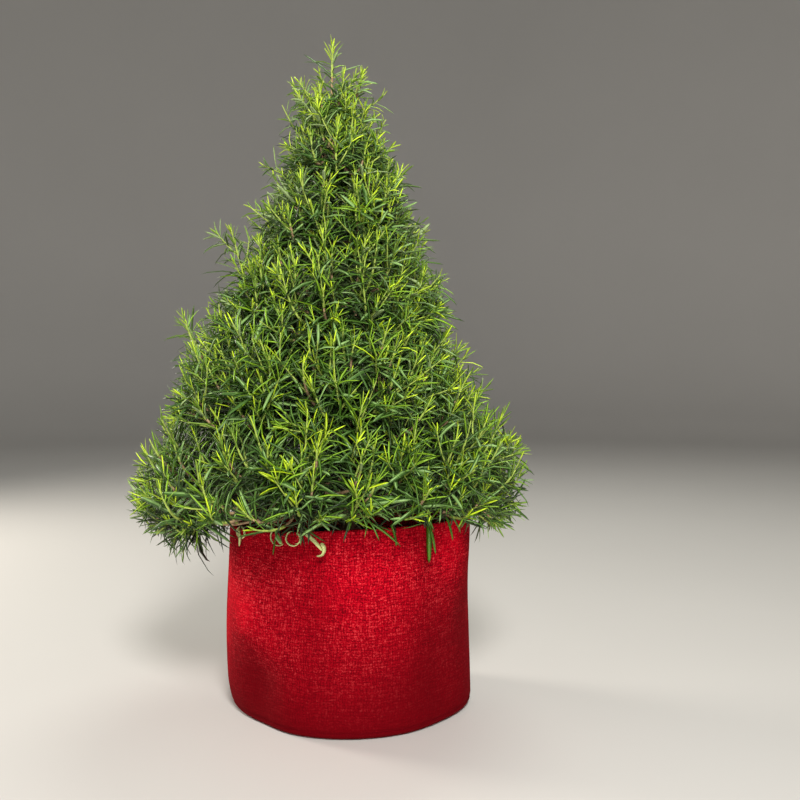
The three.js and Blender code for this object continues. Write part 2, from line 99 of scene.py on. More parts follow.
# How far sprays are drawn in on each side, by height, and how far round it that starts and is full
PULLED_IN = {
    "height": (100, 150, 190, 212, 245, 290, 345, 400, 445),
    "left": (-3, -6, 0, 2, 2, 9, 16, 9, 6),
    "right": (-12, 5, -8, 14, 18, 8, -3, 8, 12),
    "side": (0.3, 0.9),
}
PROUD = {"least": 1.0, "most": 7.0, "long_shoot": 24.0}
LONG_SHOOT_MOVED = {"in": (0, 0, 8, 19, 0), "up": (-6, 8, 8, 0, 0)}
MISSING_SPRAYS = 0.11
HANG = {"front": 130.5, "front_left": 123.0, "slope": 0.25, "uneven": 12.0, "shoot": 4.0}
SIDE_HANG = {"left": 100.0, "right": 112.0, "out": 28.0, "slope": 0.9}
RIM_CLEAR = {"bend": 137.0, "tip": 142.0, "left": 8.0, "between": (10.0, 45.0)}
POT_ROOM = {"spray": 3.0, "needle": 1.0}
SPRAY = {"free": (30.0, 44.0), "swing": 1.5, "lift_luck": 1.2, "usual_luck": 0.35, "grown": (1.0, 9.0)}
INNER_SPRAY = {"out": 0.68, "shade": 1.3, "grown_less": 0.6}
SIDE_SHOOT = {"chances": (0.8, 0.4), "share": (0.5, 0.78), "open": 0.75, "lift": 0.25, "length": (20.0, 34.0)}
LEADER = {"shoots": 16, "ring": 5, "turn": 0.15, "step": 10.0, "shade": -0.5, "proud": 14.0}
LEADER_REACH = {"most": 20.0, "uneven": (0.8, 1.12), "lower": 0.9, "left": 0.6}
LEADER_HEIGHT = {"below_tip": 9.0, "drop": 44.0, "stagger": 4.0, "rise": 14.0, "upright": 14.0, "left": 11.0}

# Each tier of foliage, from the skirt up, with how many sprays of each kind one of its masses carries
Tier = namedtuple("Tier", "top masses turn bough_height sprays inner")
TIERS = [
    Tier(134.0, 6, 0.3, 121.0, 28, 11),
    Tier(203.0, 6, 0.8, 150.0, 21, 10),
    Tier(281.0, 4, 0.2, 212.0, 24, 11),
    Tier(345.0, 4, 1.0, 284.0, 14, 6),
    Tier(394.0, 3, 0.5, 344.0, 13, 5),
]
TOPS = np.array([tier.top for tier in TIERS] + [TIP_HEIGHT])

# One shoot of each tier, on the left, that stands out: mass, across, level, out
LONG_SHOOTS = [
    (3, -0.35, 0.36, 0.97),
    (2, 0.35, 0.92, 1.08),
    (2, -0.3, 0.84, 1.03),
    (1, 0.6, 0.4, 0.86),
    (1, -0.5, 0.5, 1.0),
]

# Points of the trunk's centre line
SPINE = np.array(
    [(0, 0, TRUNK["ground"]), (-5, 2, 165), (-11, -2, 240), (-13, 1, 325), (-13, 0, TRUNK["tip"])],
    float,
)


def lerp(a, b, share):
    return a + (b - a) * share


def smoothstep(x, low, high):
    share = np.clip((x - low) / (high - low), 0, 1)
    return share * share * (3 - 2 * share)


def chance(a, b):
    """The seeded rule: one repeatable value from 0 to 1 for each pair of numbers."""
    s = np.sin(np.asarray(a) * 12.9898 + np.asarray(b) * 78.233) * 43758.5453
    return s - np.floor(s)


def unit(vectors):
    return vectors / np.maximum(np.linalg.norm(vectors, axis=-1, keepdims=True), 1e-9)


def vector(x, y, z):
    return np.stack(np.broadcast_arrays(x, y, z), axis=-1).astype(float)


def at_turn(radius, turn, z):
    """Places at a distance from the upright axis, a turn round it and a height."""
    return vector(radius * np.cos(turn), radius * np.sin(turn), z)


def regular(sides):
    """The corners of a regular outline of radius 1."""
    angles = np.arange(sides) * 2 * math.pi / sides
    return np.stack([np.cos(angles), np.sin(angles)], axis=1)


def picked(table, rows):
    """The chosen rows of a table that is held as columns."""
    return type(table)(*(column[rows] for column in table))


def stacked(kind, tables):
    """Tables of one kind, put end to end."""
    return kind(*(np.concatenate(column) for column in zip(*tables)))


# The growing rule
def crown_radius(z):
    share = np.clip((TIP_HEIGHT - z) / (TIP_HEIGHT - BELT_HEIGHT), 0, 1)
    return np.where(z < BELT_HEIGHT, BELT_RADIUS - TUCK * (BELT_HEIGHT - z), BELT_RADIUS * share**TAPER)


def sideways(turn):
    """From 0 at the crown's front and back to 1 on its left, where the skirt hangs lowest."""
    share = smoothstep(np.abs(np.cos(turn)), SKIRT_SIDES["from"], SKIRT_SIDES["to"])
    return share * np.where(np.cos(turn) > 0, SKIRT_SIDES["right"], 1)


def surface_under(tier, radius, turn):
    past = np.maximum(0, radius - SKIRT["overhang"])
    fall = lerp(SKIRT["front_fall"], SKIRT["fall"], sideways(turn))
    skirt = np.maximum(SKIRT["lowest"], SKIRT["inner"] - fall * past)
    return np.where(tier > 0, TOPS[np.maximum(tier - 1, 0)] + RISE * radius, skirt)


def surface_over(tier, radius):
    return np.where(tier < len(TIERS), TOPS[tier] + RISE * radius, TIP_HEIGHT)


def place_in(tier, turn, half_turn, across, level, out):
    """A mass's own places: across from -1 to 1, level from 0 to 1, and out to 1 at the outline."""
    angle = turn + across * half_turn
    radius = np.full(np.shape(across), 40.0)
    for _ in range(12):
        z = lerp(surface_under(tier, radius, angle), surface_over(tier, radius), level)
        radius = lerp(radius, out * crown_radius(z), 0.7)
    return vector(AXIS_X + radius * np.cos(angle), radius * np.sin(angle), z)


def spine_point(share):
    """The trunk's centre line, a centripetal spline through the points of SPINE."""
    at = np.clip(share, 0, 1) * (len(SPINE) - 1)
    span = min(int(at), len(SPINE) - 2)
    ends = [2 * SPINE[0] - SPINE[1], *SPINE, 2 * SPINE[-1] - SPINE[-2]]
    before, start, end, after = ends[span : span + 4]
    d0, d1, d2 = (math.sqrt(np.linalg.norm(b - a)) for a, b in ((before, start), (start, end), (end, after)))
    t0 = d1 * ((start - before) / d0 - (end - before) / (d0 + d1) + (end - start) / d1)
    t1 = d1 * ((end - start) / d1 - (after - start) / (d1 + d2) + (after - end) / d2)
    t = at - span
    return start + t0 * t + (3 * (end - start) - 2 * t0 - t1) * t**2 + (2 * (start - end) + t0 + t1) * t**3


def trunk_share(z):
    return np.clip((z - TRUNK["foot"]) / (TRUNK["tip"] - TRUNK["foot"]), 0, 1)


def stem_radius(share):
    return lerp(TRUNK["foot_radius"], TRUNK["tip_radius"], share ** TRUNK["fall"])


Mass = namedtuple("Mass", "tier order turn half_turn bough stem_start stem_end")
Bough = namedtuple("Bough", "root bend tip root_radius tip_radius")


def grown_masses():
    """Every mass of the five tiers, with its bough and the stem that carries on from it."""
    made = []
    for number, tier in enumerate(TIERS):
        for order in range(tier.masses):
            turn = tier.turn + order * 2 * math.pi / tier.masses
            half_turn = math.pi / tier.masses
            luck = chance(number * 10 + order, 1)
            raised = BOUGH_ROOTS["stagger"] * (order % 2) + BOUGH_ROOTS["scatter"] * luck
            root = spine_point(trunk_share(tier.bough_height + raised))
            tip = place_in(number, turn, half_turn, 0, 0.5, BOUGH["reach"])
            end = place_in(number, turn, half_turn, 0, 0.5, STEM["reach"])
            along = unit(end - tip)
            bend = tip - along * BOUGH["bend"] * np.linalg.norm(tip - root) - [0, 0, BOUGH["sag"]]
            thick = stem_radius(trunk_share(root[2])) * BOUGH["root_share"]
            thin = max(thick * BOUGH["tip_share"], BOUGH["thinnest"])
            bough = Bough(root, bend, tip, thick, thin)
            made.append(Mass(number, order, turn, half_turn, bough, tip, end))
    return made


def bezier(root, bend, tip, share):
    """Points and directions along curves, for arrays of control points and of shares."""
    s = share[..., None]
    points = (1 - s) ** 2 * root + 2 * s * (1 - s) * bend + s**2 * tip
    return points, unit(2 * (1 - s) * (bend - root) + 2 * s * (tip - bend) + 1e-9)


# Sprays: arrays of curves with one row each
Sprays = namedtuple("Sprays", "root bend tip seed kind shade proud")


def along_sprays(sprays, share):
    """Points and directions along each spray, at shares of the way from its root to its tip."""
    return bezier(sprays.root[:, None], sprays.bend[:, None], sprays.tip[:, None], share)


def spray_rows(mass, count, kind, out_share, shade):
    """The control points of a mass's sprays. kind 0 is a spray of the surface and 1 an inner one."""
    number, order = mass.tier, mass.order
    i = np.arange(count) + 0.0
    seed = 100.0 * number + 10.0 * order + 1000.0 * kind
    place = i + OUTLINE["stray_every"] * order
    across = SPREAD["width"] * (2 * ((0.5 + place * SPREAD["across"]) % 1) - 1)
    level = SPREAD["lowest"] + SPREAD["range"] * ((0.5 + place * SPREAD["level"]) % 1)
    stray = (i % OUTLINE["stray_every"] == 2) * OUTLINE["stray_share"]
    out = out_share + (1 - kind) * stray + OUTLINE["uneven"] * (chance(seed, i) - 0.5) * (1 + kind)
    proud = lerp(PROUD["least"], PROUD["most"], chance(seed + 13, i) ** 2)
    inset = np.full(count, INSET[number])
    if kind == 0 and order == LONG_SHOOTS[number][0]:
        across, level, out = (np.append(a, b) for a, b in zip((across, level, out), LONG_SHOOTS[number][1:]))
        i, proud = np.append(i, count), np.append(proud, PROUD["long_shoot"])
        inset = np.append(inset, LONG_SHOOT_MOVED["in"][number])
    own = i < count
    tip = place_in(number, mass.turn, mass.half_turn, across, level, out)
    outward = unit(vector(tip[:, 0] - AXIS_X, tip[:, 1], 0))
    side = sideways(np.arctan2(outward[:, 1], outward[:, 0]))
    for hand, sign in (("left", -1), ("right", 1)):
        pulled = np.interp(tip[:, 2], PULLED_IN["height"], PULLED_IN[hand])
        moved = own * pulled * smoothstep(sign * outward[:, 0], *PULLED_IN["side"])
        inset = inset + moved
        proud = proud + np.maximum(-moved, 0)
    tip = held_in(tip - outward * inset[:, None] + vector(0, 0, ~own * LONG_SHOOT_MOVED["up"][number]))
    if number > 0:
        lift = lerp(LIFT["lowest"], LIFT["highest"], level)
    else:
        lowest = lerp(DROOP["front"], DROOP["lowest"], side)
        lift = lerp(lowest, DROOP["highest"], smoothstep(level, 0, DROOP["until"]))
    luck = chance(seed + 5, i)
    if number == 0:
        lift = lift * lerp(LIFT["front"], 1.0, side)
    lifted = lift + SPRAY["lift_luck"] * (luck - SPRAY["usual_luck"]) * (lift > 0)
    lift = lifted * np.where(lift > 0, LIFT["by_tier"][number], 1)
    lift = np.where(own, lift, LIFT["long_shoot"])
    swing = SPRAY["swing"] * (chance(seed + 7, i) - 0.5)
    turned = vector(
        outward[:, 0] * np.cos(swing) - outward[:, 1] * np.sin(swing),
        outward[:, 0] * np.sin(swing) + outward[:, 1] * np.cos(swing),
        lift,
    )
    way = unit(turned)
    free = lerp(*SPRAY["free"], chance(seed + 9, i))[:, None]
    bend = tip - way * free
    if number == 0:
        lower = RIM_CLEAR["left"] * smoothstep(-tip[:, 0], *RIM_CLEAR["between"])
        bend[:, 2] = np.maximum(bend[:, 2], lerp(RIM_CLEAR["bend"] - lower, 0, side))
        tip[:, 2] = np.maximum(tip[:, 2], lerp(RIM_CLEAR["tip"] - lower, 0, side))
    along = lerp(STEM["first"], STEM["last"], chance(seed + 3, i))[:, None]
    root = mass.stem_start + (mass.stem_end - mass.stem_start) * along
    grown = lerp(*SPRAY["grown"], chance(seed + 11, i))[:, None]
    tip = tip + way * grown * (1 - INNER_SPRAY["grown_less"] * kind)
    tip[:, 2] = np.maximum(tip[:, 2], lowest_hang(tip) + HANG["shoot"])
    return root, bend, tip, seed + 31.0 * i, np.full(len(i), kind), np.full(len(i), shade), proud


def leader_rows():
    """The leader and its side shoots, that go out and then straight up."""
    i = np.arange(LEADER["shoots"]) + 0.0
    top_ring = i < LEADER["ring"]
    start = spine_point(1.0)
    end = np.array([AXIS_X, 0, TIP_HEIGHT - LEADER_HEIGHT["below_tip"]])
    turn = LEADER["turn"] + 2 * math.pi * i / LEADER["ring"] + 0.5 * ~top_ring
    low = np.where(top_ring, 0, LEADER["step"] * (i - LEADER["ring"] + 1))
    height = TIP_HEIGHT - LEADER_HEIGHT["drop"] - LEADER_HEIGHT["stagger"] * (i % 3) - low * 0.55
    height = height + LEADER_HEIGHT["upright"]
    reach = LEADER_REACH["most"] * lerp(*LEADER_REACH["uneven"], chance(77, i))
    reach = reach * np.where(top_ring, 1, LEADER_REACH["lower"])
    reach = reach * lerp(1.0, LEADER_REACH["left"], smoothstep(-np.cos(turn), -0.2, 0.6))
    height = height - LEADER_HEIGHT["left"] * smoothstep(-np.cos(turn), 0, 0.6)
    bent = height - LEADER_HEIGHT["rise"] - LEADER_HEIGHT["upright"]
    ring = at_turn(1.0, turn, 0)
    centre = np.array([AXIS_X, 0, 0])
    tip = centre + ring * reach[:, None] + vector(0, 0, height)
    bend = centre + ring * (reach * 0.8)[:, None] + vector(0, 0, bent)
    root = start + (end - start) * (0.02 + 0.05 * (i % LEADER["ring"]))[:, None]
    root[:, 2] -= low * 0.6
    own = start[None], ((start + end) / 2)[None], end[None]
    parts = [np.concatenate(pair) for pair in zip((root, bend, tip), own)]
    count = LEADER["shoots"] + 1
    shade, proud = (np.full(count, LEADER[name]) for name in ("shade", "proud"))
    return *parts, 9000.0 + np.arange(count), np.zeros(count, int), shade, proud


def all_sprays():
    """Every spray of the plant that stays clear of the pot: surface ones, inner ones and the leader's."""
    rows = [leader_rows()]
    for mass in grown_masses():
        tier = TIERS[mass.tier]
        rows.append(spray_rows(mass, tier.sprays, 0, OUTLINE["share"], 0.0))
        rows.append(spray_rows(mass, tier.inner, 1, INNER_SPRAY["out"], INNER_SPRAY["shade"]))
    sprays = stacked(Sprays, rows)
    points, _ = along_sprays(sprays, np.linspace(0.2, 1, 6)[None])
    kept = clear_of_pot(points, POT_ROOM["spray"]).all(axis=1)
    kept &= (sprays.kind == 1) | (sprays.proud > PROUD["most"]) | (chance(sprays.seed, 43) > MISSING_SPRAYS)
    return picked(sprays, kept)


def side_sprays(parents):
    """Short side shoots, up to two on each surface spray, that leave it at a narrow angle."""
    made = []
    for which, likely in enumerate(SIDE_SHOOT["chances"]):
        own = picked(parents, (parents.kind == 0) & (chance(parents.seed, 21 + which) < likely))
        share = lerp(*SIDE_SHOOT["share"], chance(own.seed, 23 + which))
        root, along = (a[:, 0] for a in along_sprays(own, share[:, None]))
        turn = 2 * math.pi * chance(own.seed, 25 + which)
        side, over = across_frame(along)
        square = side * np.cos(turn)[:, None] + over * np.sin(turn)[:, None]
        way = unit(along + square * SIDE_SHOOT["open"] + [0, 0, SIDE_SHOOT["lift"]])
        reach = lerp(*SIDE_SHOOT["length"], chance(own.seed, 27 + which))[:, None]
        tip = root + way * reach
        bend = root + unit(way + along * 0.2 + (way - along) * 0.5) * reach * 0.5
        kind = np.full(len(root), 2)
        made.append(Sprays(root, bend, tip, own.seed + 500 + which, kind, own.shade - 0.2, own.proud))
    sides = stacked(Sprays, made)
    kept = clear_of_pot(sides.tip, POT_ROOM["spray"]) & within_reach(sides.tip, sides.proud)
    kept &= sides.tip[:, 2] > lowest_hang(sides.tip) + HANG["shoot"]
    return picked(sides, kept)


def lowest_hang(points):
    """How far down a needle may hang at a place."""
    past = np.maximum(np.hypot(points[..., 0], points[..., 1]) - POT["belly"], 0)
    side = sideways(np.arctan2(points[..., 1], points[..., 0] - AXIS_X))
    low = np.where(points[..., 0] < 0, SIDE_HANG["left"], SIDE_HANG["right"])
    low = low + SIDE_HANG["slope"] * np.maximum(past - SIDE_HANG["out"], 0)
    front = lerp(HANG["front"], HANG["front_left"], smoothstep(-points[..., 0], 0, 35))
    return lerp(front + HANG["slope"] * past, low, side)


def clear_of_pot(points, room):
    flat = np.hypot(points[..., 0], points[..., 1])
    return (flat > POT["belly"] + room) | (points[..., 2] > POT["height"] + room)


def solids_box():
    """The lowest and the highest corner of the solids' own box, in millimetres."""
    return (np.array(corner) / MM for corner in CAD_BOX)


def within_reach(points, proud):
    """Whether points lie no further than proud outside the crown, and than 4 mm outside the solids' box."""
    radius = np.hypot(points[..., 0] - AXIS_X, points[..., 1])
    inside = radius < crown_radius(points[..., 2] - OUTLINE["round"]) + proud
    low, high = solids_box()
    margin = 4.0
    return inside & (points > low - margin).all(axis=-1) & (points < high + margin).all(axis=-1)


def held_in(points):
    """Points that lie less than 5 mm inside the solids' own box, or outside it, moved to 5 mm inside."""
    low, high = solids_box()
    return np.clip(points, low + 5, high - 5)


def across_frame(along):
    """Two directions square to each one given, and to each other."""
    side = np.stack([-along[..., 1], along[..., 0], np.full(along.shape[:-1], 0.01)], axis=-1)
    side = unit(side - along * (side * along).sum(-1, keepdims=True))
    return side, np.cross(along, side)


# Many small closed shapes in one mesh
def spindle_points(centres, side, over, width, depth, section):
    """Rings of points round each centre line, with a single point at its root and at its tip."""
    x = section[:, 0, None] * width[..., None, None]
    y = section[:, 1, None] * depth[..., None, None]
    rings = centres[:, 1:-1, None] + x * side[:, :, None] + y * over[:, :, None]
    count = len(centres)
    return np.concatenate([centres[:, :1], rings.reshape(count, -1, 3), centres[:, -1:]], axis=1)


def spindle_faces(stations, sides):
    """One spindle's faces: a fan at its root, bands between its rings, and a fan at its tip."""
    faces = []
    last = 1 + stations * sides
    for k in range(sides):
        n = (k + 1) % sides
        faces.append((k, (0, 1 + n, 1 + k)))
        for band in range(stations - 1):
            a, b = 1 + band * sides, 1 + (band + 1) * sides
            faces.append((k, (a + k, a + n, b + n, b + k)))
        end = 1 + (stations - 1) * sides
        faces.append((k, (end + k, end + n, last)))
    return faces


def joined_mesh(name, batches, materials):
    """A mesh of many spindles. Each batch holds their points, stations, sides and each side's material."""
    points, loops, starts, slots = [], [], [], []
    base = corner = 0
    for batch, stations, sides, side_slots in batches:
        count, each = batch.shape[:2]
        faces = spindle_faces(stations, sides)
        pattern = np.concatenate([face for _, face in faces])
        sizes = np.array([len(face) for _, face in faces])
        offsets = base + each * np.arange(count)
        points.append(batch.reshape(-1, 3))
        loops.append((offsets[:, None] + pattern).ravel())
        first = np.concatenate([[0], np.cumsum(sizes)[:-1]])
        starts.append((corner + len(pattern) * np.arange(count)[:, None] + first).ravel())
        slots.append(np.tile([side_slots[k] for k, _ in faces], count))
        base += count * each
        corner += count * len(pattern)
    points, loops, starts, slots = (np.concatenate(part) for part in (points, loops, starts, slots))
    mesh = bpy.data.meshes.new(name)
    mesh.vertices.add(len(points))
    mesh.vertices.foreach_set("co", (points * MM).astype(np.float32).ravel())
    mesh.loops.add(len(loops))
    mesh.loops.foreach_set("vertex_index", loops.astype(np.int32))
    mesh.polygons.add(len(starts))
    mesh.polygons.foreach_set("loop_start", starts.astype(np.int32))
    mesh.polygons.foreach_set("material_index", slots.astype(np.int32))
    mesh.polygons.foreach_set("use_smooth", np.ones(len(starts), bool))
    mesh.update(calc_edges=True)
    for material in materials:
        mesh.materials.append(material)
    piece = bpy.data.objects.new(name, mesh)
    bpy.context.scene.collection.objects.link(piece)
    return piece


def dressed(piece, nodes):
    """Gives a piece its body and the CAD nodes that it stands for."""
    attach(piece, "root")
    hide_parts(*nodes)
    return piece


# Needles
FELTED = 9.0  # the tint of a broad needle that shows its pale underside
Needles = namedtuple("Needles", "root way apex length width turning fall roll tint proud")
NEEDLE_SECTION = np.array([[0.5, -0.22], [0.0, 0.5], [-0.5, -0.22], [0.0, -0.34]])
NEEDLE_STATIONS = np.array([0.0, 0.14, 0.5, 0.84, 1.0])
NEEDLE_WIDTHS = np.array([0.72, 1.0, 0.72])
NEEDLE_DEPTH = 0.42  # as a share of its width
NEEDLE = {"crowding": 0.8, "uneven": 0.25, "twist": 0.25, "swing": 0.7, "opening": 0.34, "sunk": 0.4}
NEEDLE_BEND = {"turning": (0.2, 1.6), "fall": (0.0, 0.8), "roll": 0.9}
NEEDLE_SIZE = {"length": (0.62, 1.28), "high": 0.68, "width": (1.25, 1.65), "full": 30.0, "slim": (0.62, 1.2)}
# Shifts of each needle's tint, where a higher tint is darker: across lightens the crown's right side and darkens
# its left (painted light and painted shade), high lightens the needles near the top (painted light), low darkens
# the needles that hang low under the crown (painted shade), and luck and spray_luck vary it at random.
TINT = {"across": 0.12, "luck": 1.5, "spray_luck": 0.9, "high": 0.45, "low": 1.4}
BROAD = {"luck": 0.82, "until": 0.8, "tint": (0.8, 3.2), "width": 1.85}

# From the base of a spray's leafy length to its tip
LEAFY_PLACES = (0, 0.3, 0.6, 0.82, 1)

# What a spray carries: its leafy length, its needles, and their length, opening and tint at LEAFY_PLACES
Leafy = namedtuple("Leafy", "length count sizes opens tints")
OUTER = Leafy(76, 36, (28, 33, 26, 14, 9), (1.2, 1.1, 0.85, 0.42, 0.18), (3.4, 2.8, 2.1, 1.0, 0.1))
SIDE = Leafy(36, 18, (18, 24, 19, 12, 8), (1.1, 1.0, 0.8, 0.4, 0.2), (2.9, 2.5, 1.8, 0.9, 0.1))
# The inner sprays' high tints deal them the darkest greens, painted shade inside the crown.
INNER = Leafy(55, 18, (30, 32, 30, 24, 15), (1.15, 1.05, 0.85, 0.6, 0.3), (4.2, 4.0, 3.7, 3.3, 2.8))


def needle_line(needles, stations):
    """Points and directions along needles, which bend back from the twig's tip and down by their weight."""
    way, apex = needles.way, needles.apex
    away = unit(way * (apex * way).sum(-1, keepdims=True) - apex)
    down = np.array([0, 0, -1.0])
    sunk = down - way * (way * down).sum(-1, keepdims=True)
    back = unit(away * needles.turning[:, None] + sunk * needles.fall[:, None] + away * 1e-3)[:, None]
    kappa = np.maximum(np.hypot(needles.turning, needles.fall), 0.02)[:, None, None]
    bent = kappa * np.asarray(stations)[None, :, None]
    way = way[:, None]
    moved = needles.length[:, None, None] / kappa * (np.sin(bent) * way + (1 - np.cos(bent)) * back)
    return needles.root[:, None] + moved, np.cos(bent) * way + np.sin(bent) * back


def needle_batch(needles, stations=NEEDLE_STATIONS, widths=NEEDLE_WIDTHS):
    """The points of needles, whose flat sections are turned by their roll."""
    centres, along = needle_line(needles, stations)
    along = along[:, 1:-1]
    side = unit(np.cross(needles.apex, needles.way) + 1e-6)[:, None] + 0 * along
    side = unit(side - along * (side * along).sum(-1, keepdims=True))
    over = np.cross(along, side)
    cos, sin = np.cos(needles.roll)[:, None, None], np.sin(needles.roll)[:, None, None]
    side, over = side * cos + over * sin, over * cos - side * sin
    width = needles.width[:, None] * widths[None]
    return spindle_points(centres, side, over, width, width * NEEDLE_DEPTH, NEEDLE_SECTION)


def needles_on(sprays, leafy):
    """The needles of sprays: opposite pairs that turn a quarter each time, and crowd towards the tip."""
    k = np.arange(leafy.count)
    pair = k // 2
    up = (pair + 0.35) / (leafy.count // 2)
    lower_half = np.linalg.norm(sprays.bend - sprays.root, axis=1)
    total = lower_half + np.linalg.norm(sprays.tip - sprays.bend, axis=1)
    bare = np.clip(1 - leafy.length / total, 0.08, 0.8)
    seed = sprays.seed[:, None]
    at = up ** NEEDLE["crowding"] + NEEDLE["uneven"] * (chance(seed, k) - 0.5) / leafy.count
    share = np.clip(lerp(bare[:, None], 1.0, at), 0, 1)
    point, along = along_sprays(sprays, share)
    side, over = across_frame(along)
    turn = math.pi * k + (math.pi / 2 + NEEDLE["twist"]) * pair + seed
    turn = (turn + NEEDLE["swing"] * (chance(seed + 1, k) - 0.5))[..., None]
    open_angle = np.interp(up, LEAFY_PLACES, leafy.opens) + NEEDLE["opening"] * (chance(seed + 2, k) - 0.5)
    square = side * np.cos(turn) + over * np.sin(turn)
    way = unit(along * np.cos(open_angle)[..., None] + square * np.sin(open_angle)[..., None])
    length = np.interp(up, LEAFY_PLACES, leafy.sizes) * lerp(*NEEDLE_SIZE["length"], chance(seed + 3, k))
    length = length * lerp(1.0, NEEDLE_SIZE["high"], smoothstep(sprays.tip[:, 2], 240, 430))[:, None]
    turning = lerp(*NEEDLE_BEND["turning"], chance(seed + 5, k)) * np.interp(up, (0, 0.7, 1), (1.0, 0.7, 0.0))
    fall = lerp(*NEEDLE_BEND["fall"], chance(seed + 6, k)) * np.interp(up, (0, 0.6, 1), (1.0, 0.5, 0.0))
    roll = NEEDLE_BEND["roll"] * (chance(seed + 7, k) - 0.5)
    place = np.clip((point[..., 0] - AXIS_X) / BELT_RADIUS, -1, 1)
    # The tint carries painted light and painted shade: lighter on the right and near the top, darker low under
    # the crown.
    tint = np.interp(up, LEAFY_PLACES, leafy.tints) + sprays.shade[:, None] - TINT["across"] * place
    tint = tint + TINT["luck"] * (chance(seed + 8, k) - 0.5)
    tint = tint + TINT["spray_luck"] * (chance(seed + 9, 0) - 0.5)
    tint = tint - TINT["high"] * smoothstep(point[..., 2], 300, 430)
    tint = tint + TINT["low"] * (1 - smoothstep(point[..., 2], 116, 142))
    broad = (chance(seed + 15, k) > BROAD["luck"]) & (up < BROAD["until"])
    broad &= (tint > BROAD["tint"][0]) & (tint < BROAD["tint"][1])
    tint = np.where(broad, FELTED, tint)
    full = np.clip(length / NEEDLE_SIZE["full"], 0, 1)
    width = lerp(*NEEDLE_SIZE["width"], full) * lerp(*NEEDLE_SIZE["slim"], chance(seed + 4, k))
    width = width * np.where(broad, BROAD["width"], 1) * np.interp(up, (0.0, 0.75, 1.0), (1.0, 1.0, 0.8))
    proud = sprays.proud[:, None] + 0 * k
    columns = point - way * NEEDLE["sunk"], way, along, length, width, turning, fall, roll, tint, proud
    flat = Needles(*(column.reshape(-1, *column.shape[2:]) for column in columns))
    line, _ = needle_line(flat, (0.0, 0.5, 1.0))
    end = line[:, -1]
    lower = HANG["uneven"] * chance(np.arange(len(end)), 3) ** 3
    kept = clear_of_pot(line, POT_ROOM["needle"]).all(axis=1) & within_reach(end, flat.proud)
    kept &= end[:, 2] > lowest_hang(end) - lower
    return picked(flat, kept)


def all_needles():
    sprays = all_sprays()
    groups = [
        needles_on(picked(sprays, sprays.kind == 0), OUTER),
        needles_on(side_sprays(sprays), SIDE),
        needles_on(picked(sprays, sprays.kind == 1), INNER),
    ]
    return stacked(Needles, groups)


# Shader maths
class Term:
    """A node's output, which numbers and other outputs can be added to, multiplied by and so on."""

    def __init__(self, shader, socket):
        self.shader = shader
        self.socket = socket

    def maths(self, operation, *values):
        return self.shader.node("ShaderNodeMath", {"operation": operation}, dict(enumerate(values)))

    def __add__(self, other):
        return self.maths("ADD", self, other)

    def __sub__(self, other):
        return self.maths("SUBTRACT", self, other)

    def __mul__(self, other):
        return self.maths("MULTIPLY", self, other)

    def __rsub__(self, other):
        return self.maths("SUBTRACT", other, self)

    def __truediv__(self, other):
        return self.maths("DIVIDE", self, other)

    __radd__ = __add__

    def clipped(self):
        return self.shader.node("ShaderNodeClamp", {}, {"Value": self})

    def ramp(self, start, gain):
        """From 0 at start up to 1, gaining so much for each unit."""
        return ((self - start) * gain).clipped()

    def sine(self):
        return self.maths("SINE", self)

    def size(self):
        return self.maths("ABSOLUTE", self)

    def whole(self):
        return self.maths("FLOOR", self)

    def larger(self, other):
        return self.maths("MAXIMUM", self, other)


class Shader:
    """A material that ends in one Principled BSDF, built up from nodes."""

    def __init__(self, name, **constants):
        self.material = bpy.data.materials.new(name)
        self.material.use_nodes = True
        self.nodes = self.material.node_tree.nodes
        self.links = self.material.node_tree.links
        self.surface = next(node for node in self.nodes if node.type == "BSDF_PRINCIPLED")
        for socket, value in constants.items():
            self.surface.inputs[socket.replace("_", " ")].default_value = value

    def node(self, kind, settings, inputs, output=0):
        made = self.nodes.new(kind)
        for key, value in settings.items():
            setattr(made, key, value)
        for key, value in inputs.items():
            self.feed(made.inputs[key], value)
        return Term(self, made.outputs[output])

    def feed(self, socket, value):
        if isinstance(value, Term):
            self.links.new(value.socket, socket)
        else:
            socket.default_value = value

    def set(self, **inputs):
        for name, value in inputs.items():
            self.feed(self.surface.inputs[name.replace("_", " ")], value)
        return self.material

    def place(self):
        return self.node("ShaderNodeTexCoord", {}, {}, "Object")

    def stretched(self, source, scale):
        return self.node("ShaderNodeMapping", {}, {"Vector": source, "Scale": scale})

    def noise(self, source, scale, detail=2.0, roughness=0.5):
        sockets = {"Vector": source, "Scale": scale, "Detail": detail, "Roughness": roughness}
        return self.node("ShaderNodeTexNoise", {}, sockets)

    def mixed(self, share, a, b):
        sockets = {0: share, 6: colour(a), 7: colour(b)}
        return self.node("ShaderNodeMix", {"data_type": "RGBA"}, sockets, 2)

    def bump(self, height, strength, distance):
        sockets = {"Height": height, "Strength": strength, "Distance": distance}
        return self.node("ShaderNodeBump", {}, sockets)


def colour(value):
    """A colour with its alpha, or the link that stands for one."""
    return value if isinstance(value, Term) else (*value[:3], 1.0)


def shaded(value, factor):
    return tuple(min(1.0, part * factor) for part in value[:3])


# Settings
def amount(name, description, default, **kind):
    return FloatProperty(name=name, description=description, default=default, **kind)


def length(name, description, default):
    return amount(name, description, default, subtype="DISTANCE", unit="LENGTH")


def paint(name, description, default):
    kind = {"size": 3, "subtype": "COLOR", "min": 0, "max": 1}
    return FloatVectorProperty(name=name, description=description, default=default, **kind)


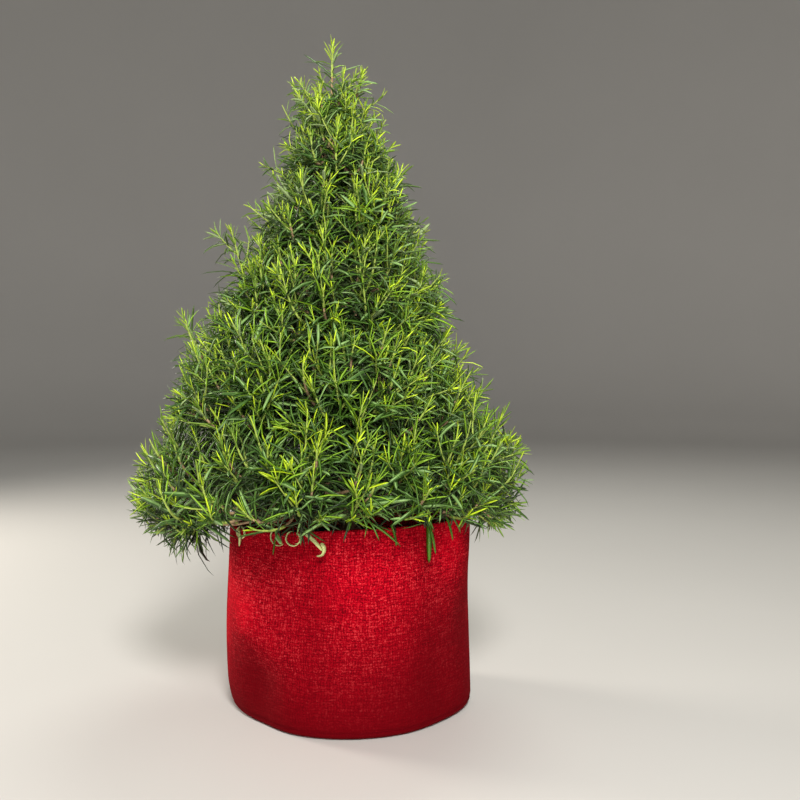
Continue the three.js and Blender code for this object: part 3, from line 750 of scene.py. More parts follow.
class SleeveSettings(bpy.types.PropertyGroup):
    """Sizes and colours of the burlap pot cover."""

    thread_pitch: length("Thread pitch", "From one thread of the burlap to the next", 0.0019)
    weave_relief: length("Weave relief", "How far a thread stands out where it passes over", 0.00012)
    fold_depth: length("Fold depth", "Depth of the soft dents at the front left", 0.0068)
    seam_height: length("Seam height", "Height of the seam above the table", 0.0045)
    cloth: paint("Cloth", "The burlap's own red", (0.50, 0.0006, 0.011))
    # Pale red of fluffy and rubbed threads, and of the painted glints on the thread crowns.
    fluff_and_glints: paint("Worn threads", "The paler red of rubbed and fluffy threads", (0.90, 0.09, 0.10))
    gaps: paint("Gaps", "The dark red between the threads", (0.10, 0.0, 0.003))


class WoodSettings(bpy.types.PropertyGroup):
    """Colours and relief of the trunk, boughs and twigs."""

    relief: length("Bark relief", "Height of the ridges of the bark", 0.0006)
    bark: paint("Bark", "The trunk's brown", (0.16, 0.085, 0.05))
    furrow: paint("Furrows", "The dark between the ridges of the bark", (0.045, 0.024, 0.015))
    twig: paint("Twigs", "The pinkish brown of twigs that have turned woody", (0.37, 0.25, 0.14))
    shoot: paint("Shoots", "The pale green of this year's shoots", (0.36, 0.47, 0.09))


class FoliageSettings(bpy.types.PropertyGroup):
    """Colours of the needles, from the newest to the innermost."""

    lime: paint("Lime", "Newest needles, at the tips", (0.43, 0.61, 0.012))
    fresh: paint("Fresh", "Young needles", (0.145, 0.28, 0.008))
    leaf: paint("Leaf", "Full-grown needles", (0.039, 0.104, 0.007))
    # Older needles, made darker still as painted shade, for they sit inwards at the base of each spray.
    deep: paint("Deep", "Older needles", (0.010, 0.031, 0.004))
    # Nearly black: painted shade for the needles inside the crown.
    inner: paint("Inner", "Needles inside the crown", (0.004, 0.009, 0.002))
    broad: paint("Broad", "Broad needles, with more felt", (0.085, 0.19, 0.040))
    felt: paint("Felt", "The pale felt under each needle", (0.44, 0.55, 0.26))
    dry: paint("Dry", "Curled needles over the rim", (0.58, 0.64, 0.26))


class MixSettings(bpy.types.PropertyGroup):
    """Colours and grains of the potting mix."""

    grains: IntProperty(name="Grains", description="Crumbs that lie on the potting mix", default=900, min=0)
    grain: length("Grain", "Size of the largest crumb", 0.0032)
    peat: paint("Peat", "The potting mix's dark brown", (0.040, 0.022, 0.013))
    dusty: paint("Dusty", "Its paler, dry crumbs", (0.13, 0.08, 0.05))


class StageSettings(bpy.types.PropertyGroup):
    """The camera's place, the lights and the floor."""

    distance: length("Camera distance", "From the pot's middle to the camera", 0.70)
    height: length("Camera height", "Above the table", 0.233)
    lens: amount("Lens", "Focal length in millimetres", 44.87, min=1)
    pitch: amount("Pitch", "How far the camera looks down", math.radians(1.84), subtype="ANGLE")
    yaw: amount("Yaw", "How far it looks to the right of the pot", math.radians(2.84), subtype="ANGLE")
    key: amount("Key light", "Power of the large light in front", 25.3, subtype="POWER")
    low: amount("Low light", "Power of the light in front, near the table", 6.0, subtype="POWER")
    fill: amount("Fill light", "Power of the light on the left, and partly of the top one", 12.0, subtype="POWER")
    sky: amount("Surroundings", "Strength of the even light all round", 0.138, min=0)
    floor: paint("Floor", "The floor's colour", (0.62, 0.61, 0.60))


SETTINGS = {
    "topiary_sleeve": SleeveSettings,
    "topiary_wood": WoodSettings,
    "topiary_foliage": FoliageSettings,
    "topiary_mix": MixSettings,
    "topiary_stage": StageSettings,
}


# Modelling helpers
def alone():
    if bpy.context.object and bpy.context.object.mode != "OBJECT":
        bpy.ops.object.mode_set(mode="OBJECT")
    bpy.ops.object.select_all(action="DESELECT")


def corners_of(mesh):
    corners = np.empty(len(mesh.vertices) * 3, np.float32)
    mesh.vertices.foreach_get("co", corners)
    return corners.reshape(-1, 3)


def rolled_grid(name, around, rows, place):
    """A grid whose corners are moved by place(turn share, row share), closed where its edges meet."""
    alone()
    bpy.ops.mesh.primitive_grid_add(x_subdivisions=around, y_subdivisions=rows, size=1)
    piece = bpy.context.object
    piece.name = piece.data.name = name
    mesh = piece.data
    corners = corners_of(mesh)
    moved = place(corners[:, 0] + 0.5, corners[:, 1] + 0.5)
    mesh.vertices.foreach_set("co", (moved * MM).astype(np.float32).ravel())
    mesh.update()
    bpy.ops.object.mode_set(mode="EDIT")
    bpy.ops.mesh.select_all(action="SELECT")
    bpy.ops.mesh.remove_doubles(threshold=1e-6)
    bpy.ops.mesh.normals_make_consistent(inside=False)
    bpy.ops.object.mode_set(mode="OBJECT")
    bpy.ops.object.shade_smooth()
    return piece


def pot_radius(z):
    return lerp(POT["belly"], POT["rim"], smoothstep(z, 20, POT["height"]))


def slackened(radius, z, turn):
    """The slack of the burlap, as in the source: slow waves round the wall and a rim that dips."""
    high = smoothstep(z, 8, 60) * smoothstep(radius, 60, 75)
    wave = np.sin(2 * turn + 0.6) + 0.6 * np.sin(5 * turn + 1.9) + 0.35 * np.sin(9 * turn)
    dip = np.maximum(0, np.cos(turn - CLOTH["dip_turn"])) ** 4
    lowered = CLOTH["rim_dip"] * dip * smoothstep(z, SOIL["top"], POT["height"])
    return radius + CLOTH["wave"] * wave * high, z - lowered


class SleeveOperator(bpy.types.Operator):
    """Models the burlap cover round the pot, thread by thread"""

    bl_idname = "topiary.sleeve"
    bl_label = "Burlap sleeve"

    # Turn in degrees, height, half widths round and up, and share of the depth
    dents = (
        (218, 108, 0.16, 18, 0.45),
        (224, 26, 0.24, 26, 0.9),
        (248, 96, 0.20, 34, 0.4),
        (318, 28, 0.34, 38, 0.7),
        (338, 64, 0.26, 36, 0.45),
        (207, 0, 0.55, 12, 0.6),
        (356, 72, 0.20, 40, 0.35),
    )
    bulge_share = 0.6
    bulges = (
        (190, 58, 0.22, 48, 0.5),
        (219, 66, 0.24, 20, 0.85),
        (274, 84, 0.30, 40, 0.55),
        (335, 106, 0.22, 22, 0.5),
    )

    # The same, with how much lighter or darker the cloth is painted there: painted light and painted shade, as
    # the light falls on the folds, the edges and the flanks of the wall
    painted_light_places = (
        (196, 60, 0.13, 44, 1.0),
        (206, 80, 0.15, 18, 0.7),
        (218, 70, 0.13, 15, 0.8),
        (232, 56, 0.14, 14, 0.5),
        (218, 26, 0.24, 28, -0.95),
        (240, 96, 0.22, 34, -0.55),
        (206, 118, 0.12, 12, -0.6),
        (256, 78, 0.14, 60, -0.4),
        (308, 52, 0.24, 70, -0.6),
        (338, 60, 0.30, 40, -0.9),
        (292, 24, 0.34, 26, -0.45),
        (30, 64, 0.34, 40, -0.4),
        (82, 98, 0.25, 30, 0.4),
        (118, 44, 0.40, 38, -0.5),
        (156, 82, 0.22, 40, 0.4),
        (324, 120, 0.17, 17, 1.2),
    )

    def execute(self, context):
        settings = context.scene.topiary_sleeve
        pitch = settings.thread_pitch / MM
        threads = round(2 * math.pi * POT["belly"] / pitch)
        profile = self.profile(pitch)
        arc = np.concatenate([[0], np.cumsum(np.hypot(*np.diff(profile, axis=0).T))])
        rows = len(profile) - 1

        def place(turn_share, row_share):
            turn = 2 * math.pi * turn_share
            row = np.clip(np.round(row_share * rows).astype(int), 0, rows)
            radius, z = profile[row].T
            wall = smoothstep(radius, 60, 78)
            outer = wall * (row <= self.outer_rows)
            radius, z = slackened(radius, z, turn)
            radius = radius + wall * self.folds(turn, z, settings)
            column = np.round(turn_share * 2 * threads).astype(int)
            knit = (column % 2) * 2.0 - 1.0
            radius = radius + outer * knit * settings.weave_relief / MM * smoothstep(z, 1.0, 5.0)
            return at_turn(np.where((row == 0) | (row == rows), 0, radius), turn, z)

        piece = rolled_grid("burlap_sleeve", 2 * threads, rows, place)
        self.lay_threads(piece.data, threads, arc, pitch)
        self.fade(piece.data)
        piece.data.materials.append(burlap(settings))
        dressed(piece, ["burlap_pot"])
        return {"FINISHED"}

    def profile(self, pitch):
        """Radius and height, from under the pot up the outside, over the hem and down the inside."""
        foot, hem, belly, height = POT["foot"], POT["wall"] / 2, POT["belly"], POT["height"]
        under = [(0, 0), (30, 0), (60, 0), (belly - foot, 0)]
        corner = [(belly - foot + foot * math.sin(a), foot - foot * math.cos(a)) for a in (0.4, 0.8, 1.2)]
        wall = [(pot_radius(z), z) for z in np.arange(foot, height - hem * 0.5, pitch / 2)]
        rim, out, shoulder = POT["rim"] - hem, hem * 0.75, height - hem * 0.35
        over = [(rim + out, shoulder), (rim, height), (rim - out, shoulder)]
        inside = [(pot_radius(z) - POT["wall"], z) for z in np.linspace(height - 2 * hem, 8, 14)]
        base = [(belly - POT["wall"] - 3, POT["floor"]), (40, POT["floor"]), (0, POT["floor"])]
        self.outer_rows = len(under) + len(corner) + len(wall)
        return np.array(under + corner + wall + over + inside + base)

    def folds(self, turn, z, settings):
        """Soft dents and bulges of the wall, and its sewn seam, in millimetres."""
        moved = self.bulge_share * self.summed(self.bulges, turn, z) - self.summed(self.dents, turn, z)
        seam = np.exp(-(((z - settings.seam_height / MM) / 0.9) ** 2))
        return moved * settings.fold_depth / MM - seam

    def summed(self, places, turn, z):
        """The sum of soft round hills."""
        total = np.zeros_like(turn)
        for degrees, height, wide, tall, share in places:
            off = np.angle(np.exp(1j * (turn - math.radians(degrees)))) / wide
            total = total + share * np.exp(-(off**2) - ((z - height) / tall) ** 2)
        return total

    def fade(self, mesh):
        """Stores how much lighter or darker the cloth is painted at each corner: painted light and painted shade.
        """
        x, y, z = corners_of(mesh).T / MM
        painted_light = mesh.attributes.new("painted_light", "FLOAT", "POINT")
        painted_light.data.foreach_set("value", self.summed(self.painted_light_places, np.arctan2(y, x), z).astype(np.float32))

    def lay_threads(self, mesh, threads, arc, pitch):
        """Turns the grid's own UV map into counts of threads, round the pot and up its wall."""
        uv = mesh.uv_layers[0]
        uv.name = "threads"
        values = np.empty(len(mesh.loops) * 2, np.float32)
        uv.uv.foreach_get("vector", values)
        values = values.reshape(-1, 2)
        values[:, 0] *= threads
        values[:, 1] = np.interp(values[:, 1], np.linspace(0, 1, len(arc)), arc / pitch)
        uv.uv.foreach_set("vector", values.ravel())


def burlap(settings):
    """Plain-woven burlap: warp and weft that pass over and under, with slubs, pale fluff, painted glints on the
    thread crowns and dark gaps, and painted light and painted shade over the wall, which grows darker towards the
    bottom.
    """
    shader = Shader("red_burlap", Sheen_Weight=0.05, Sheen_Roughness=0.4, Sheen_Tint=(1, 0.03, 0.05, 1))
    shader.set(Specular_IOR_Level=0.04)
    threads = shader.node("ShaderNodeUVMap", {"uv_map": "threads"}, {})
    parts = [shader.node("ShaderNodeSeparateXYZ", {}, {"Vector": threads}, axis) for axis in range(2)]
    wander = shader.noise(threads, 0.09, 2)
    strays = shader.noise(shader.stretched(threads, (0.8, 0.16, 1.0)), 1.0, 2)
    picks = shader.noise(shader.stretched(threads, (0.14, 0.8, 1.0)), 1.0, 2)
    u = parts[0] + (wander - 0.5) * 3.4 + (strays - 0.5) * 2.0
    v = parts[1] * 0.94 + (wander - 0.5) * 3.0 + (picks - 0.5) * 2.0
    crossing = shader.node("ShaderNodeCombineXYZ", {}, {"X": u.whole(), "Y": v.whole()})
    luck = shader.node("ShaderNodeTexWhiteNoise", {}, {"Vector": crossing})
    across, up = (u * math.pi).sine(), (v * math.pi).sine()
    warp = (across.size() + across * up) * 0.5
    weft = (up.size() - across * up) * 0.5
    warp_slub = shader.noise(shader.stretched(threads, (1.0, 0.05, 1.0)), 1.0, 3, 0.6)
    weft_slub = shader.noise(shader.stretched(threads, (0.05, 1.0, 1.0)), 1.0, 3, 0.6)
    fibre = shader.noise(threads, 2.9, 3, 0.65)
    fluff = shader.noise(threads, 1.9, 3, 0.7)
    thread = (warp * (warp_slub * 1.5 + 0.25)).larger(weft * (weft_slub * 1.5 + 0.25))
    height = thread + fibre * 0.55
    rubbed = shader.noise(shader.place(), 26.0, 3)
    top = ((thread - 0.5) + (luck - 0.5) * 0.5 + (fluff - 0.5) * 3.8 + 0.62).clipped()
    # Pale fluff and rubbed threads, with painted glints where the crowns of the threads stand highest.
    fluff_and_glints = (fluff - 0.565) * 6.0 + (thread - 0.62) * 0.9 + (luck - 0.5) * 0.9 + (rubbed - 0.5)
    fluff_and_glints = fluff_and_glints.clipped() * 0.75
    patches = shader.noise(shader.place(), 15.0, 3)
    level = shader.node("ShaderNodeSeparateXYZ", {}, {"Vector": shader.place()}, 2)
    # The attribute below holds painted light where it is above 0, which pales the threads and the gaps, and
    # painted shade where it is below 0.
    painted_light = shader.node("ShaderNodeAttribute", {"attribute_name": "painted_light"}, {}, 2)
    pale = (painted_light * 0.7).clipped()
    between = shader.mixed(pale, settings.gaps, settings.cloth)
    base = shader.mixed(top, between, shader.mixed(pale, settings.cloth, shaded(settings.cloth, 2.0)))
    base = shader.mixed(fluff_and_glints, base, settings.fluff_and_glints)
    base = shader.mixed(patches.ramp(0.42, 1.5) * 0.35, base, shaded(settings.cloth, 0.5))
    # Painted shade, where the attribute is below 0.
    base = shader.mixed((painted_light * -0.8).clipped(), base, shaded(settings.cloth, 0.2))
    # Painted shade: the cloth grows darker towards the table, from about 105 mm above it down.
    base = shader.mixed((1.0 - level * 9.5).clipped(), base, shaded(settings.cloth, 0.22))
    seam = 1.0 - (level - settings.seam_height).size() / 0.0012
    base = shader.mixed(seam.clipped() * 0.6, base, settings.gaps)
    bumped = shader.bump(height, 0.4, 0.0006)
    return shader.set(Base_Color=base, Roughness=0.8 + fibre * 0.18, Normal=bumped)


class PottingMixOperator(bpy.types.Operator):
    """Fills the pot with dark potting mix and scatters crumbs on it"""

    bl_idname = "topiary.potting_mix"
    bl_label = "Potting mix"

    def execute(self, context):
        settings = context.scene.topiary_mix
        low, high = (np.array(corner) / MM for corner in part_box("potting_mix"))
        bottom, top = low[2], high[2]
        sides = [(70, bottom), (73, bottom + 6), (73, 70), (SOIL["radius"], SOIL["top"] - 12)]
        surface = [(radius, self.heaped(radius, top)) for radius in np.linspace(SOIL["radius"], 0, 40)]
        profile = np.array([(0, bottom), (60, bottom), *sides, *surface])
        rows = len(profile) - 1

        def place(turn_share, row_share):
            turn = 2 * math.pi * turn_share
            radius, z = profile[np.round(row_share * rows).astype(int)].T
            lumps = 1.1 * np.sin(radius * 0.9 + 3 * np.sin(turn * 7)) * np.sin(turn * 23 + radius * 0.31)
            z = z + np.where(z > SOIL["top"] - 8, lumps * smoothstep(radius, 1, 12) * 0.6 - 0.7, 0)
            return at_turn(radius, turn, z)

        bed = rolled_grid("potting_mix_bed", 120, rows, place)
        bed.data.materials.append(potting_mix(settings))
        dressed(bed, ["potting_mix"])

        i = np.arange(settings.grains) + 0.0
        radius = (SOIL["radius"] - 4) * np.sqrt(chance(3, i))
        turn = GOLDEN_TURN * i
        size = settings.grain / MM * lerp(0.35, 1.0, chance(5, i) ** 2)
        middle = at_turn(radius, turn, self.heaped(radius, top) - 0.9 + size * 0.2)
        way = unit(vector(chance(7, i) - 0.5, chance(9, i) - 0.5, 0.4 * (chance(11, i) - 0.5)))
        side, over = (a[:, None].repeat(2, 1) for a in across_frame(way))
        shares = np.array([-0.5, -0.22, 0.26, 0.5])
        centres = middle[:, None] + way[:, None] * (shares[None, :, None] * size[:, None, None])
        wide = size[:, None] * (0.36 + 0.12 * chance(13, i[:, None] + np.arange(2)))
        grains = spindle_points(centres, side, over, wide, wide * 0.8, regular(5))
        crumbs = joined_mesh("potting_mix_crumbs", [(grains, 2, 5, [0] * 5)], [potting_mix(settings)])
        dressed(crumbs, ["potting_mix"])
        return {"FINISHED"}

    def heaped(self, radius, top):
        """The height of the potting mix, which falls from its middle to its edge."""
        return lerp(top, SOIL["top"] - SOIL["edge_drop"], (radius / SOIL["radius"]) ** 2)


def potting_mix(settings):
    shader = Shader("potting_mix", Specular_IOR_Level=0.2)
    spots = shader.noise(shader.place(), 420.0, 4, 0.6)
    crumbs = shader.noise(shader.place(), 130.0, 3)
    base = shader.mixed(spots.ramp(0.5, 4.0), settings.peat, settings.dusty)
    bumped = shader.bump(spots + crumbs, 0.6, 0.0012)
    return shader.set(Base_Color=base, Roughness=0.85 + crumbs * 0.12, Normal=bumped)


class WoodOperator(bpy.types.Operator):
    """Models the trunk and its boughs with the relief of their bark"""

    bl_idname = "topiary.wood"
    bl_label = "Trunk and boughs"

    def execute(self, context):
        settings = context.scene.topiary_wood
        spine = np.array([spine_point(share) for share in np.linspace(0, 1, 201)])
        limbs = [self.limb("trunk_and_boughs", spine, self.trunk_radius, 28, settings)]
        for mass in grown_masses():
            bough = mass.bough
            line, _ = bezier(bough.root, bough.bend, bough.tip, np.linspace(0, 1, 41))

            def tapered(share, turn, bough=bough):
                return lerp(bough.root_radius, bough.tip_radius, share)

            limbs.append(self.limb("bough", line, tapered, 14, settings))
        alone()
        for limb in limbs:
            limb.select_set(True)
        context.view_layer.objects.active = limbs[0]
        bpy.ops.object.join()
        piece = limbs[0]
        piece.data.materials.append(bark(settings))
        dressed(piece, ["trunk", *BOUGHS])
        return {"FINISHED"}

    def trunk_radius(self, share, turn):
        flare = np.exp(-share * (TRUNK["tip"] - TRUNK["foot"]) / FLARE["height"])
        lobed = 1 + FLARE["lobe"] * flare * np.sin(FLARE["lobes"] * turn)
        return stem_radius(share) * lobed + FLARE["width"] * flare

    def limb(self, name, line, radius_at, sides, settings):
        """A limb round a line of points, closed at both ends, with furrowed bark."""
        rows = len(line) + 1
        along = unit(np.gradient(line, axis=0))
        side, over = across_frame(along)
        relief = settings.relief / MM

        def place(turn_share, row_share):
            turn = 2 * math.pi * turn_share
            row = np.round(row_share * rows).astype(int)
            at = np.clip(row - 1, 0, len(line) - 1)
            radius = radius_at(at / (len(line) - 1), turn)
            centre = line[at]
            grain = [
                noise.fractal(Vector((math.cos(t) * 2.2, math.sin(t) * 2.2, z * 0.11)), 0.8, 2.1, 4)
                for t, z in zip(turn, centre[:, 2])
            ]
            radius = radius + relief * np.array(grain) * np.clip(radius / 4, 0.3, 1.2)
            radius = np.where((row == 0) | (row == rows), 0, radius)[:, None]
            moved = centre + radius * (side[at] * np.cos(turn)[:, None] + over[at] * np.sin(turn)[:, None])
            moved[:, 2] = np.maximum(moved[:, 2], TRUNK["ground"])
            return moved

        return rolled_grid(name, sides, rows, place)


def bark(settings):
    shader = Shader("bark", Specular_IOR_Level=0.25)
    flakes = shader.noise(shader.stretched(shader.place(), (1.0, 1.0, 0.22)), 620.0, 5, 0.6)
    tone = shader.noise(shader.place(), 60.0, 2)
    base = shader.mixed(flakes.ramp(0.36, 3.2), settings.furrow, settings.bark)
    base = shader.mixed(tone.ramp(0.5, 2.0) * 0.5, base, shaded(settings.bark, 1.8))
    bumped = shader.bump(flakes, 0.8, 0.0006)
    return shader.set(Base_Color=base, Roughness=0.72 + flakes * 0.25, Normal=bumped)


class TwigsOperator(bpy.types.Operator):
    """Grows the stems, twigs and green shoots that carry the needles"""

    bl_idname = "topiary.twigs"
    bl_label = "Twigs and shoots"

    older_share = 0.4

    # First and last share of a spray, the radius at each, and sides
    old_wood = (0.0, 0.86, 1.25, 0.8, 5)
    young_wood = (0.0, 0.62, 1.15, 0.8, 5)
    old_shoot = (0.82, 1.0, 0.9, 0.45, 5)
    young_shoot = (0.56, 1.0, 1.05, 0.45, 5)
    side_shoot = (0.0, 1.0, 0.8, 0.35, 4)

    def execute(self, context):
        settings = context.scene.topiary_wood
        masses = grown_masses()
        sprays = all_sprays()
        sides = side_sprays(sprays)
        start = np.array([mass.stem_start for mass in masses])
        end = np.array([mass.stem_end for mass in masses])
        none = np.zeros(len(masses))
        stems = Sprays(start, (start + end) / 2, end, np.arange(len(masses)) + 0.0, none, none, none)
        older = chance(sprays.seed, 41) < self.older_share
        old, young = picked(sprays, older), picked(sprays, ~older)
        woody = [
            self.tubes(stems, 0.0, 1.0, STEM["inner"], STEM["outer"], 7),
            self.tubes(old, *self.old_wood),
            self.tubes(young, *self.young_wood),
        ]
        green = [
            self.tubes(old, *self.old_shoot),
            self.tubes(young, *self.young_shoot),
            self.tubes(sides, *self.side_shoot),
        ]
        twigs = joined_mesh("twigs_woody", woody, [twig_wood("twig_wood", settings.twig, 0.45)])
        shoots = joined_mesh("shoots_green", green, [twig_wood("green_shoot", settings.shoot, 0.3)])
        for piece in (twigs, shoots):
            dressed(piece, MASSES)
        return {"FINISHED"}

    def tubes(self, sprays, first, last, thick, thin, sides):
        """Tapering twigs along a stretch of each spray, with a small knot at each of nine rings."""
        stations = 9
        shares = np.concatenate([[first], np.linspace(first + 0.01, last - 0.01, stations), [last]])
        centres, along = along_sprays(sprays, np.broadcast_to(shares, (len(sprays.root), stations + 2)))
        side, over = across_frame(along[:, 1:-1])
        knots = 1 + 0.14 * (chance(sprays.seed[:, None], np.arange(stations)) - 0.5)
        width = np.linspace(thick, thin, stations)[None] * knots
        points = spindle_points(centres, side, over, width, width, regular(sides))
        return points, stations, sides, [0] * sides


def twig_wood(name, tone, strength):
    shader = Shader(name, Specular_IOR_Level=0.3)
    streaks = shader.noise(shader.stretched(shader.place(), (1.0, 1.0, 0.3)), 500.0, 3)
    patches = shader.noise(shader.place(), 45.0, 2)
    dark, light = shaded(tone, 1 - strength), shaded(tone, 1 + strength)
    base = shader.mixed(streaks.ramp(0.35, 2.5), dark, light)
    base = shader.mixed(patches.ramp(0.45, 2.0) * 0.5, base, dark)
    bumped = shader.bump(streaks, 0.4, 0.0003)
    return shader.set(Base_Color=base, Roughness=0.6 + streaks * 0.2, Normal=bumped)


class NeedlesOperator(bpy.types.Operator):
    """Sets the needles on every shoot, dealt out among six greens by their tint"""

    bl_idname = "topiary.needles"
    bl_label = "Needles"

    largest = 8200
    greens = ("lime", "fresh", "leaf", "deep", "inner", "broad")
    broad_felt, felt = 0.62, 0.16

    def execute(self, context):
        settings = context.scene.topiary_foliage
        needles = all_needles()
        broad = self.greens.index("broad")
        rounded = np.clip(np.round(needles.tint), 0, broad - 1)
        tint = np.where(needles.tint == FELTED, broad, rounded).astype(int)
        for number, name in enumerate(self.greens):
            chosen = np.flatnonzero(tint == number)
            tone = np.array(getattr(settings, name))
            pale = lerp(tone, np.array(settings.felt), self.broad_felt if name == "broad" else self.felt)
            # The two upper faces of each needle are shaded and lit copies of its green: one at 0.68 of its
            # brightness (painted shade), the other at 1.45 with a little felt mixed in (painted highlight); the
            # underside shows the pale felt.
            finishes = [
                needle_leaf("needle_" + name, shaded(tone, 0.68), 0.36),
                needle_leaf("needle_" + name + "_lit_half", shaded(lerp(tone, pale, 0.3), 1.45), 0.4),
                needle_leaf("needle_" + name + "_underside", pale, 0.5),
            ]
            parts = np.array_split(chosen, max(1, math.ceil(len(chosen) / self.largest)))
            for part, rows in enumerate(parts):
                batch = (needle_batch(picked(needles, rows)), 3, 4, [0, 1, 2, 2])
                piece = joined_mesh(f"needles_{name}_{part + 1}", [batch], finishes)
                dressed(piece, MASSES)
        return {"FINISHED"}


def needle_leaf(name, tone, roughness):
    shader = Shader(name, Specular_IOR_Level=0.26)
    drift = shader.noise(shader.place(), 70.0, 2)
    fine = shader.noise(shader.place(), 900.0, 2)
    base = shader.mixed(drift.ramp(0.3, 2.2), shaded(tone, 0.78), shaded(tone, 1.2))
    base = shader.mixed(fine.ramp(0.55, 3.0) * 0.3, base, shaded(tone, 1.5))
    return shader.set(Base_Color=base, Roughness=roughness + (fine - 0.5) * 0.25)


class CurledNeedlesOperator(bpy.types.Operator):
    """Hangs a few long and curled needles over the pot's rim"""

    bl_idname = "topiary.curled_needles"
    bl_label = "Needles over the rim"

    rings = 11
    root_gap = 6.0

    # Turn in degrees, height, length, width, how far it curls, and how far it sets out along the rim and down
    curls = (
        (219, 131, 26, 2.4, 6.8, -1.0, 0.0),
        (217, 129, 15, 1.9, 2.6, 0.8, 0.1),
        (240, 133, 21, 2.4, 3.9, -1.0, 0.1),
        (247, 132, 20, 3.0, 4.4, -0.95, 0.0),
        (251, 132, 18, 5.2, 0.5, 1.1, 0.6),
        (258, 125.5, 13, 5.2, 3.1, 1.1, 0.45),
        (248, 131, 12, 2.1, 3.6, 1.0, 0.0),
    )
    hanging = (
        (239, 128, 12, 1.2, 0.3, 0.2, 1.6),
        (286, 137, 15, 2.2, 0.6, 0.3, 1.2),
        (303, 140, 30, 3.8, 0.5, -0.5, 1.8),
        (302, 139, 24, 2.4, 0.4, 0.1, 1.8),
        (312, 139, 17, 2.6, 0.5, 0.1, 1.6),
    )

    def execute(self, context):
        settings = context.scene.topiary_foliage
        batches = [
            (self.shapes(self.curls), self.rings, 4, [0, 0, 1, 1]),
            (self.shapes(self.hanging), self.rings, 4, [2, 2, 3, 3]),
        ]
        finishes = [
            needle_leaf("needle_curled", settings.dry, 0.5),
            # The curled needles' undersides, at 0.8 of the dry colour's brightness: painted shade.
            needle_leaf("needle_curled_back", shaded(settings.dry, 0.8), 0.5),
            needle_leaf("needle_hanging", shaded(settings.leaf, 1.5), 0.3),
            needle_leaf("needle_hanging_back", settings.broad, 0.4),
        ]
        piece = joined_mesh("needles_over_rim", batches, finishes)
        dressed(piece, MASSES)
        return {"FINISHED"}

    def shapes(self, rows):
        degrees, height, long, wide, curl, lean, dip = np.array(rows, float).T
        turn = np.radians(degrees)
        outward = at_turn(1.0, turn, 0)
        along = vector(-np.sin(turn), np.cos(turn), 0)
        root = outward * (POT["belly"] + self.root_gap) + vector(0, 0, height)
        straight = outward * (1.15 - np.abs(lean))[:, None]
        way = unit(straight + along * lean[:, None] + vector(0, 0, 0.05 - dip))
        none = np.zeros(len(turn))
        needles = Needles(root, way, vector(0, 0, 1) + 0 * way, long, wide, curl, none, none, none, none)
        stations = np.linspace(0, 1, self.rings + 2)
        widths = np.interp(stations[1:-1], (0, 0.15, 0.7, 1), (0.6, 1, 0.9, 0.4))
        return needle_batch(needles, stations, widths)


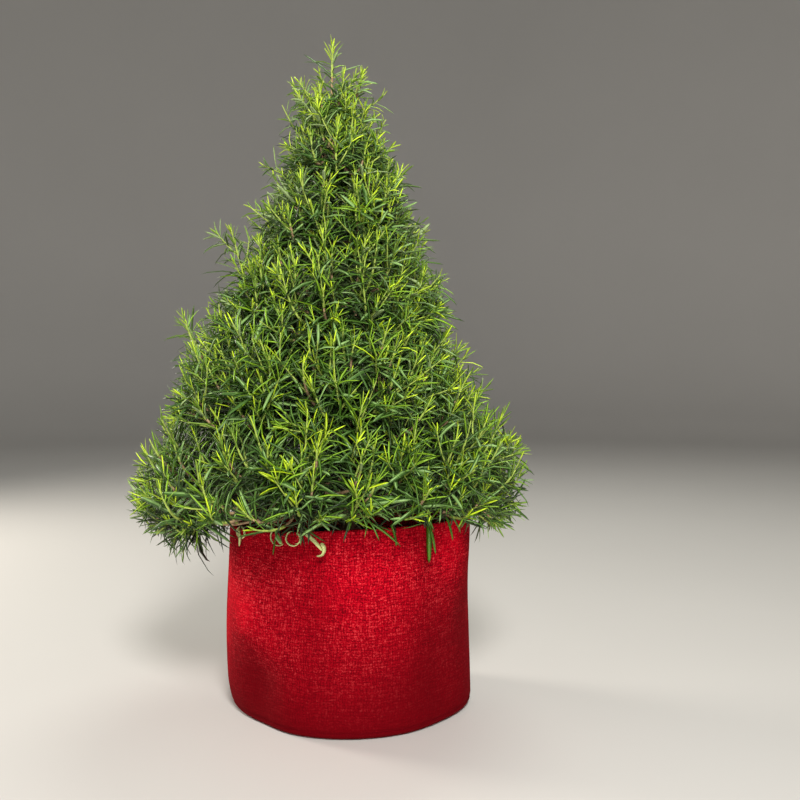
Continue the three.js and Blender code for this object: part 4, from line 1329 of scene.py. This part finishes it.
class StageOperator(bpy.types.Operator):
    """Sets the floor, the lights and the camera"""

    bl_idname = "topiary.stage"
    bl_label = "Stage"

    # Radius and height in metres, of a round floor that rises at its edge
    floor_profile = ((0, 0), (1.2, 0), (2.6, 0), (3.0, 0.06), (3.25, 0.3), (3.35, 0.7), (3.4, 2.6))
    floor_gap = 0.2  # in millimetres, under the pot

    # Name, place in metres, width, the setting that gives its power, share of that, and colour
    lamps = (
        ("key_light", (0.1, -1.2, 1.0), 0.35, "key", 1.0, (1.0, 0.96, 0.90)),
        ("low_light", (-0.1, -1.5, 0.3), 0.4, "low", 1.0, (1.0, 0.97, 0.93)),
        ("fill_light", (-1.1, 0.6, 0.52), 0.4, "fill", 1.0, (1.0, 0.93, 0.82)),
        ("top_light", (0.3, 0.8, 1.5), 0.9, "fill", 0.7, (1.0, 1.0, 0.9)),
    )
    lamps_aim = (0, 0, 0.22)

    def execute(self, context):
        settings = context.scene.topiary_stage
        alone()
        profile = np.array(self.floor_profile) / MM
        rows = len(profile) - 1

        def place(turn_share, row_share):
            radius, z = profile[np.round(row_share * rows).astype(int)].T
            return at_turn(radius, 2 * math.pi * turn_share, z - self.floor_gap)

        floor = rolled_grid("floor", 96, rows, place)
        shader = Shader("pale_floor", Roughness=0.6)
        cloud = shader.noise(shader.place(), 3.0, 3)
        tone = shader.mixed(cloud, shaded(settings.floor, 0.97), shaded(settings.floor, 1.03))
        floor.data.materials.append(shader.set(Base_Color=tone))

        world = bpy.data.worlds.new("studio")
        world.use_nodes = True
        backdrop = next(node for node in world.node_tree.nodes if node.type == "BACKGROUND")
        backdrop.inputs["Color"].default_value = (0.92, 0.91, 0.84, 1)
        backdrop.inputs["Strength"].default_value = settings.sky
        context.scene.world = world

        for name, place, size, source, share, tone in self.lamps:
            self.lamp(name, place, size, getattr(settings, source) * share, tone)
        self.camera(context, settings)
        context.scene.view_settings.view_transform = "Standard"
        return {"FINISHED"}

    def lamp(self, name, place, size, power, tone):
        alone()
        bpy.ops.object.light_add(type="AREA", location=place)
        lamp = bpy.context.object
        lamp.name = name
        lamp.data.shape = "DISK"
        lamp.data.size = size
        lamp.data.energy = power
        lamp.data.color = tone
        aimed = Vector(self.lamps_aim) - Vector(place)
        lamp.rotation_euler = aimed.to_track_quat("-Z", "Y").to_euler()

    def camera(self, context, settings):
        alone()
        bpy.ops.object.camera_add(location=(0, -settings.distance, settings.height))
        camera = context.object
        camera.name = "camera"
        camera.rotation_euler = Euler((math.pi / 2 - settings.pitch, 0, -settings.yaw))
        camera.data.sensor_width = 36
        camera.data.lens = settings.lens
        context.scene.camera = camera


OPERATORS = (
    SleeveOperator,
    PottingMixOperator,
    WoodOperator,
    TwigsOperator,
    NeedlesOperator,
    CurledNeedlesOperator,
    StageOperator,
)


class TopiaryPanel(bpy.types.Panel):
    """Lists the pieces of the plant and their settings"""

    bl_idname = "VIEW3D_PT_topiary"
    bl_label = "Topiary"
    bl_space_type = "VIEW_3D"
    bl_region_type = "UI"
    bl_category = "Topiary"

    def draw(self, context):
        for operator in OPERATORS:
            self.layout.operator(operator.bl_idname)
        for name, group in SETTINGS.items():
            box = self.layout.box()
            for key in group.__annotations__:
                box.prop(getattr(context.scene, name), key)


def register():
    for group in (*SETTINGS.values(), *OPERATORS, TopiaryPanel):
        bpy.utils.register_class(group)
    for name, group in SETTINGS.items():
        setattr(bpy.types.Scene, name, PointerProperty(type=group))


def unregister():
    for name in SETTINGS:
        delattr(bpy.types.Scene, name)
    for group in reversed((*SETTINGS.values(), *OPERATORS, TopiaryPanel)):
        bpy.utils.unregister_class(group)


def main():
    register()
    for operator in OPERATORS:
        category, name = operator.bl_idname.split(".")
        getattr(getattr(bpy.ops, category), name)()


if __name__ == "__main__":
    main()
